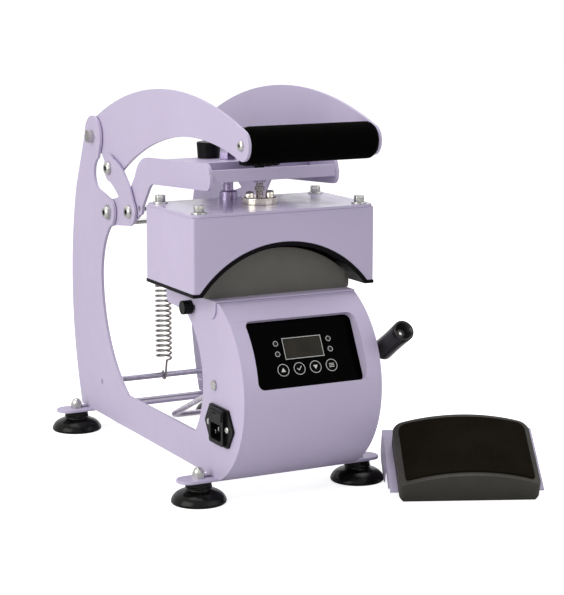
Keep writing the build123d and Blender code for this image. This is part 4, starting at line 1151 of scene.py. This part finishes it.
# ---------------------------------------------------------------------------- head
@dataclass
class HeaterHead:
    """The heated box, what it hangs from and the pressure screw."""

    body: str = "head"
    bolt: HexBolt = HexBolt()
    bolt_inset: float = 7.5
    flange_screw: ButtonScrew = ButtonScrew(
        head_radius=4.6,
        head_height=5.0,
        socket_radius=2.2,
        socket_depth=3.0,
        shank_radius=2.0,
        shank_length=1.0,
    )
    flange_screw_offset: float = 11.0
    fittings: tuple[Coating, ...] = (
        Coating("box_shell", LAVENDER, 0.9, 3),
        Coating("box_top_plate", SMOOTH_LAVENDER, 0.7, 3),
        Coating("heating_element", ELEMENT, 0.4),
        Coating("insulation", WOOL, 0.0),
        Coating("pressure_flange", CHROME, 0.4),
        Coating("guide_post", GUIDE_STEEL, 0.4),
        Coating("pressure_screw", THREAD, 0.2),
        Coating("pressure_knob", BLACK_MOULDING, 1.0, 3),
        Coating("level_knob", BLACK_MOULDING, 0.6, 3),
    )

    def bolts(self) -> None:
        """Make the four corner bolts and the two screws of the flange."""
        low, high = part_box("head_bolts")
        middle = middle_of("pressure_flange")
        flange_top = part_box("pressure_flange")[1].z
        form = bmesh.new()
        inset = self.bolt_inset * MM
        for x in (low.x + inset, high.x - inset):
            for y in (low.y + inset, high.y - inset):
                self.bolt.build(form, Matrix.Translation((x, y, low.z)) @ Matrix.Scale(MM, 4))
        new_piece("head_bolt_set", form, ZINC, self.body, ["head_bolts"])
        for name, sign in (("flange_screw_left", -1), ("flange_screw_right", 1)):
            form = bmesh.new()
            spot = Vector((middle.x + sign * self.flange_screw_offset * MM, middle.y, flange_top))
            self.flange_screw.build(form, Matrix.Translation(spot) @ Matrix.Scale(MM, 4))
            new_piece(name, form, CHROME, self.body)

    def dress(self) -> None:
        """Finish the head and the pressure screw."""
        coat(self.fittings)
        self.bolts()


# ---------------------------------------------------------------------------- tension gear
@dataclass
class TensionGear:
    """The hand lever on the right, its shaft and the wire bail."""

    body: str = "tension_gear"
    shaft_place: Pair = (-8.0, 115.0)
    grip_start: Pair = (-48.0, 141.2)
    grip_end: Pair = (-89.0, 168.0)
    lever_x: float = 87.0
    grip_radius: float = 10.5
    bore: float = 4.0
    end_round: float = 2.0
    rim: float = 1.2
    dish_depth: float = 7.4
    rod_short: float = 7.9
    eye: float = 1.7
    lip_turn: float = 150.0
    waist_depth: float = 0.35
    waist_start: float = 2.5
    waist_trim: float = 6.0
    waist_spans: int = 12
    dish_step: Pair = (3.0, 2.0)
    steps: int = 56
    smooth: float = 50.0
    fittings: tuple[Coating, ...] = (
        Coating("tension_shaft", ZINC, 0.4),
        Coating("tension_lever", ZINC, 0.3),
        Coating("tension_bail", ROD_STEEL, 0.0),
    )

    def grip(self) -> None:
        """Turn the hollow-ended rubber grip on its lever."""
        length = math.dist(self.grip_start, self.grip_end)
        ahead = self.grip_end[0] - self.shaft_place[0]
        above = self.grip_end[1] - self.shaft_place[1]
        run = Vector((0, ahead, above))
        along = run.normalized()
        across = Vector((1, 0, 0))
        turn = Matrix((across, along.cross(across), along)).transposed().to_4x4()
        shaft = BENCH.at(self.lever_x, *self.shaft_place)
        start = shaft + along * (run.length - length) * MM
        place = Matrix.Translation(start) @ turn @ Matrix.Scale(MM, 4)
        wall = self.grip_radius
        foot = arc((wall - self.end_round, self.end_round), self.end_round, -90, 0, 6)
        lip = arc((wall - self.rim, length - self.rim), self.rim, 0, self.lip_turn, 8)
        waist = []
        for step in range(1, self.waist_spans):
            share = step / self.waist_spans
            radius = wall - self.waist_depth * math.sin(math.pi * share)
            waist.append((radius, self.waist_start + (length - self.waist_trim) * share))
        floor = length - self.dish_depth
        rod_end = length - self.rod_short
        dish = [
            (wall - self.dish_step[0], length - self.dish_step[1]),
            (self.bore, floor),
            (self.eye, floor),
            (self.eye, rod_end),
            (self.bore, rod_end),
        ]
        outline = [(self.bore, 0.0)] + foot + waist + lip + dish + [(self.bore, 0.0)]
        form = bmesh.new()
        lathe(form, outline, self.steps, place)
        new_piece("lever_sleeve", form, LEVER_RUBBER, self.body, ["lever_grip"], self.smooth)

    def dress(self) -> None:
        """Finish the lever, the shaft and the bail."""
        coat(self.fittings)
        self.grip()


@dataclass
class CounterSpring:
    """The wound spring that lifts the arm, hooked on two rods."""

    wire: float = 1.2
    coil_radius: float = 8.1
    turns: int = 24
    steps_per_turn: int = 26
    wire_sides: int = 10
    coil_low: float = 79.0
    coil_high: float = 213.0
    hook_radius: float = 4.4
    hook_turn: float = 250.0
    hook_steps: int = 20
    blend_margin: float = 6.0

    def wire_circle(self, form: bmesh.types.BMesh, place: Matrix) -> list[bmesh.types.BMVert]:
        """Add the wire's section at a place, and return its points."""
        circle = bmesh.ops.create_circle(
            form, segments=self.wire_sides, radius=self.wire * MM
        )["verts"]
        bmesh.ops.transform(form, matrix=place, verts=circle)
        return circle

    def coil(self, form: bmesh.types.BMesh, spot: Vector) -> None:
        """Wind the coil about its axis.

        Args:
            form: The bmesh that takes the coil.
            spot: Foot of the coil's axis, in metres.
        """
        upright = Matrix.Rotation(math.radians(90), 4, "X")
        start = Vector((spot.x, spot.y - self.coil_radius * MM, spot.z + self.coil_low * MM))
        side = Matrix.Rotation(math.radians(90), 4, "Z")
        circle = self.wire_circle(form, Matrix.Translation(start) @ side @ upright)
        total = self.turns * self.steps_per_turn
        bmesh.ops.spin(
            form,
            geom=circle + edges_at(circle),
            cent=spot,
            axis=(0, 0, 1),
            dvec=(0, 0, (self.coil_high - self.coil_low) * MM / total),
            angle=2 * math.pi * self.turns,
            steps=total,
        )

    def hook(
        self,
        form: bmesh.types.BMesh,
        spot: Vector,
        rod_height: float,
        end_height: float,
    ) -> None:
        """Bend the hook that joins one end of the coil to its rod.

        Args:
            form: The bmesh that takes the hook.
            spot: Foot of the coil's axis, in metres.
            rod_height: Height of the rod, in metres.
            end_height: Height of the coil's end, in millimetres.
        """
        toward = 1 if rod_height < end_height * MM else -1
        centre = Vector((spot.x, spot.y, rod_height))
        side = Matrix.Rotation(math.radians(90), 4, "Y")
        start = Vector((spot.x, spot.y - self.coil_radius * MM, end_height * MM))
        circle = self.wire_circle(form, Matrix.Translation(start) @ side @ side)
        reach = self.coil_radius - self.hook_radius
        lean = bmesh.ops.extrude_edge_only(form, edges=edges_at(circle))["geom"]
        verts = verts_in(lean)
        drop = rod_height - end_height * MM
        bmesh.ops.translate(form, vec=(0, reach * MM, drop), verts=verts)
        edges = [edge for edge in edges_in(lean) if len(edge.link_faces) == 1]
        bmesh.ops.spin(
            form,
            geom=verts + edges,
            cent=centre,
            axis=(1, 0, 0),
            angle=math.radians(self.hook_turn) * toward,
            steps=self.hook_steps,
        )

    def dress(self) -> None:
        """Wind the spring that stands for its plain solid."""
        middle = middle_of("counter_spring")
        tie_low, tie_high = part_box("lower_tie_rod")
        low_rod = (tie_low.z + tie_high.z) / 2
        rod_radius = (tie_high.z - tie_low.z) / 2
        high_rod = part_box("arm_rods")[0].z + rod_radius
        spot = Vector((middle.x, middle.y, 0))
        form = bmesh.new()
        self.coil(form, spot)
        self.hook(form, spot, low_rod, self.coil_low)
        self.hook(form, spot, high_rod, self.coil_high)
        ends = [edge for edge in form.edges if len(edge.link_faces) == 1]
        bmesh.ops.holes_fill(form, edges=ends, sides=self.wire_sides)
        spring = new_piece("wound_spring", form, SPRING_STEEL, None, ["counter_spring"])
        margin = self.blend_margin * MM
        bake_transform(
            spring,
            "frame",
            "upper_arm",
            start=(spot.x, spot.y, low_rod + margin),
            end=(spot.x, spot.y, high_rod - margin),
        )


# ---------------------------------------------------------------------------- platens
@dataclass
class Platen:
    """One arched platen: its casting, its sponge pad and its sheet saddle."""

    prefix: str
    body: str
    half_width: float
    depth: float
    arch_radius: float
    arch_centre: float
    seat: Matrix
    finish: CastPaint
    pad_inset: float = 5.0
    pad_thickness: float = 2.0
    front_corner: float = 8.0
    rear_corner: float = 3.2
    rim_round: float = 0.8
    bulge: float = 0.15
    bulge_scale: float = 0.05
    bulge_start: float = 0.6
    spans_across: int = 72
    spans_deep: int = 40
    smooth: float = 60.0

    def _rounded(self, x: float, y: float, half_x: float, half_y: float) -> tuple[float, float]:
        """Pull a point of a rectangle in so that the corners come out round."""
        corner = self.front_corner if y < 0 else self.rear_corner
        over_x = max(0.0, abs(x) - (half_x - corner))
        over_y = max(0.0, abs(y) - (half_y - corner))
        reach = max(over_x, over_y)
        length = math.hypot(over_x, over_y)
        if length > 0:
            over_x *= reach / length
            over_y *= reach / length
        near_x = min(abs(x), half_x - corner) + over_x
        near_y = min(abs(y), half_y - corner) + over_y
        return math.copysign(near_x, x), math.copysign(near_y, y)

    def pad(self) -> None:
        """Lay the sponge sheet over the arch."""
        outer = self.arch_radius + self.pad_thickness
        half_x = math.asin((self.half_width - self.pad_inset) / outer) * outer
        half_y = self.depth / 2 - self.pad_inset
        form = bmesh.new()
        sheet = bmesh.ops.create_grid(
            form, x_segments=self.spans_across, y_segments=self.spans_deep, size=1.0
        )["verts"]
        for vertex in sheet:
            x, y = self._rounded(vertex.co.x * half_x, vertex.co.y * half_y, half_x, half_y)
            vertex.co = Vector((x, y, 0.0))
        flat = list(form.faces)
        raised = bmesh.ops.extrude_face_region(form, geom=flat, use_keep_orig=True)["geom"]
        top = verts_in(raised)
        bmesh.ops.translate(form, vec=(0, 0, self.pad_thickness), verts=top)
        above = set(top)
        rim = [
            edge
            for edge in form.edges
            if edge.verts[0] in above
            and edge.verts[1] in above
            and any(vertex not in above for face in edge.link_faces for vertex in face.verts)
        ]
        bmesh.ops.bevel(
            form,
            geom=rim,
            offset=self.rim_round,
            segments=3,
            profile=0.5,
            affect="EDGES",
            material=-1,
            clamp_overlap=True,
        )
        for vertex in form.verts:
            x, y, z = vertex.co
            swell = 0.0
            if z > self.pad_thickness * self.bulge_start:
                swell = noise.noise(vertex.co * self.bulge_scale) * self.bulge
            radius = self.arch_radius + z - max(0.0, swell)
            angle = x / outer
            height = self.arch_centre + radius * math.cos(angle)
            vertex.co = Vector((radius * math.sin(angle), y + self.depth / 2, height))
        bmesh.ops.transform(form, matrix=self.seat @ Matrix.Scale(MM, 4), verts=form.verts)
        name = f"{self.prefix}sponge_pad"
        stands_for = [f"{self.prefix}platen_pad"]
        piece = new_piece(name, form, PAD, self.body, stands_for, self.smooth)

    def dress(self) -> None:
        """Finish the casting and the saddle and lay the pad."""
        coat([
            Coating(f"{self.prefix}platen_body", self.finish, 1.4, 4),
            Coating(f"{self.prefix}platen_saddle", LAVENDER, 0.5, 3),
        ])
        self.pad()


@dataclass
class Platens:
    """The mounted platen and the spare one beside the press."""

    heat_centre: float = 134.547
    seat_height: float = 196.8
    front: float = 1.0
    depth: float = 87.0
    half_width: float = 81.0
    arch_radius: float = 106.7
    spare_depth: float = 88.0
    spare_half_width: float = 68.0
    spare_end: float = 20.0
    spare_apex: float = 33.0
    spare_place: Pair = (146.0, -116.5)
    spare_turn: float = -24.1
    lobe_drop: float = 33.0
    lobe_rear: float = 26.0

    def spare_seat(self) -> Matrix:
        """Return the place of the spare platen, which stands turned half round."""
        turn = math.radians(self.spare_turn)
        tilt = math.atan2(self.lobe_drop, self.spare_depth - self.lobe_rear)
        across = Vector((math.cos(turn), math.sin(turn), 0))
        level = math.cos(tilt)
        back = Vector((-math.sin(turn) * level, math.cos(turn) * level, math.sin(tilt)))
        origin = BENCH.at(*self.spare_place, 0) + back * self.spare_depth * MM
        axes = Matrix((-across, -back, across.cross(back))).transposed().to_4x4()
        return Matrix.Translation(origin) @ axes

    def dress(self) -> None:
        """Dress both platens."""
        rise = self.spare_apex - self.spare_end
        radius = (self.spare_half_width**2 + rise**2) / (2 * rise)
        mounted = Platen(
            "",
            "platen",
            self.half_width,
            self.depth,
            self.arch_radius,
            self.heat_centre - self.seat_height,
            Matrix.Translation(BENCH.at(0, self.front, self.seat_height)),
            PLATEN_GREY,
        )
        spare = Platen(
            "spare_",
            "spare_platen",
            self.spare_half_width,
            self.spare_depth,
            radius,
            self.spare_apex - radius,
            self.spare_seat(),
            # Painted shade: the spare's casting takes a darker copy of the mounted grey.
            SHADED_SPARE_GREY,
        )
        mounted.dress()
        spare.dress()


@dataclass
class ClampKnobs:
    """The two fluted knobs that hold the saddle."""

    edge: float = 0.5

    def dress(self) -> None:
        """Finish both knobs."""
        for side in Side:
            coat([Coating(f"{side.name.lower()}_clamp_knob", BLACK_MOULDING, self.edge)])


# ---------------------------------------------------------------------------- studio
@dataclass(frozen=True)
class Lamp:
    """A soft square lamp: place in the press's millimetres, watts and metres across."""

    name: str
    place: tuple[float, float, float]
    power: float
    size: float
    tone: Colour = (1.0, 1.0, 1.0)


@dataclass
class Studio:
    """The pale floor, the soft lights and the camera."""

    azimuth: float = 27.268
    pitch: float = 10.21
    lens: float = 114.22
    stand: tuple[float, float, float] = (-820.05, -1596.27, 515.78)
    floor_size: float = 12.0
    floor_colour: float = 0.80
    floor_glow: float = 0.74
    floor_drop: float = 0.0002
    floor_roughness: float = 0.9
    floor_specular: float = 0.1
    sky: float = 0.40
    aim: tuple[float, float, float] = (0.0, 120.0, 180.0)
    near_clip: float = 0.05
    lamps: tuple[Lamp, ...] = (
        Lamp("key_lamp", (-1900, -350, 950), 29.5, 1.6, (1.0, 0.985, 0.92)),
        Lamp("fill_lamp", (1300, -1700, 1100), 9.0, 1.8, (0.97, 0.97, 1.0)),
        Lamp("top_lamp", (100, 300, 1900), 17.0, 1.6),
    )

    def camera(self) -> None:
        """Set the camera where the set is seen from the left front."""
        data = bpy.data.cameras.new("camera")
        data.lens = self.lens
        data.sensor_fit = "AUTO"
        data.clip_start = self.near_clip
        eye = bpy.data.objects.new("camera", data)
        bpy.context.scene.collection.objects.link(eye)
        turn, drop = math.radians(self.azimuth), math.radians(self.pitch)
        level = math.cos(drop)
        ahead = Vector((math.sin(turn) * level, math.cos(turn) * level, -math.sin(drop)))
        eye.location = BENCH.at(*self.stand)
        eye.rotation_mode = "QUATERNION"
        eye.rotation_quaternion = ahead.to_track_quat("-Z", "Y")
        bpy.context.scene.camera = eye

    def floor(self) -> None:
        """Lay a pale floor that keeps the set's shadow."""
        form = bmesh.new()
        bmesh.ops.create_grid(form, x_segments=1, y_segments=1, size=self.floor_size / 2)
        mesh = bpy.data.meshes.new("floor")
        form.to_mesh(mesh)
        form.free()
        sheet = bpy.data.objects.new("floor", mesh)
        bpy.context.scene.collection.objects.link(sheet)
        sheet.location.z = -self.floor_drop
        graph = Graph("studio_floor")
        shade = (self.floor_colour,) * 3
        graph.shader.inputs["Base Color"].default_value = (*shade, 1)
        graph.shader.inputs["Roughness"].default_value = self.floor_roughness
        graph.shader.inputs["Specular IOR Level"].default_value = self.floor_specular
        graph.shader.inputs["Emission Color"].default_value = (1, 1, 1, 1)
        path = graph.add("ShaderNodeLightPath")
        glow = graph.add("ShaderNodeMath")
        glow.operation = "MULTIPLY"
        glow.inputs[1].default_value = self.floor_glow
        graph.join(path.outputs["Is Camera Ray"], glow.inputs[0])
        graph.join(glow.outputs[0], graph.shader.inputs["Emission Strength"])
        mesh.materials.append(graph.material)

    def backdrop(self) -> None:
        """Light the set from all round and show white behind it."""
        world = bpy.data.worlds.new("studio")
        bpy.context.scene.world = world
        world.use_nodes = True
        tree = world.node_tree
        tree.nodes.clear()
        output = tree.nodes.new("ShaderNodeOutputWorld")
        mix = tree.nodes.new("ShaderNodeMixShader")
        light = tree.nodes.new("ShaderNodeBackground")
        light.inputs["Color"].default_value = (1, 1, 1, 1)
        light.inputs["Strength"].default_value = self.sky
        white = tree.nodes.new("ShaderNodeBackground")
        white.inputs["Color"].default_value = (1, 1, 1, 1)
        white.inputs["Strength"].default_value = 1.0
        path = tree.nodes.new("ShaderNodeLightPath")
        seen = path.outputs["Is Camera Ray"]
        for ray in ("Is Transmission Ray", "Is Glossy Ray"):
            either = tree.nodes.new("ShaderNodeMath")
            either.operation = "MAXIMUM"
            tree.links.new(seen, either.inputs[0])
            tree.links.new(path.outputs[ray], either.inputs[1])
            seen = either.outputs[0]
        tree.links.new(seen, mix.inputs["Fac"])
        tree.links.new(light.outputs["Background"], mix.inputs[1])
        tree.links.new(white.outputs["Background"], mix.inputs[2])
        tree.links.new(mix.outputs["Shader"], output.inputs["Surface"])

    def hang(self, lamp: Lamp) -> None:
        """Hang a lamp so that it points at the press."""
        data = bpy.data.lights.new(lamp.name, "AREA")
        data.color = lamp.tone
        data.energy = lamp.power
        data.size = lamp.size
        fitting = bpy.data.objects.new(lamp.name, data)
        bpy.context.scene.collection.objects.link(fitting)
        fitting.location = BENCH.at(*lamp.place)
        aim = BENCH.at(*self.aim) - fitting.location
        fitting.rotation_mode = "QUATERNION"
        fitting.rotation_quaternion = aim.to_track_quat("-Z", "Y")

    def build(self) -> None:
        """Set up the whole studio."""
        self.camera()
        self.floor()
        self.backdrop()
        for lamp in self.lamps:
            self.hang(lamp)
        bpy.context.scene.view_settings.view_transform = "Standard"


def main() -> None:
    """Build the studio and dress every sub-assembly in order."""
    logging.basicConfig(level=logging.INFO, format="%(name)s: %(message)s")
    Studio().build()
    assemblies = (
        Column(),
        SuctionFeet(),
        MainsInlet(),
        Controls(),
        Linkage(),
        HandleGrip(),
        HeaterHead(),
        TensionGear(),
        CounterSpring(),
        Platens(),
        ClampKnobs(),
    )
    for assembly in assemblies:
        assembly.dress()
        LOG.info("dressed %s", type(assembly).__name__)


if __name__ == "__main__":
    main()
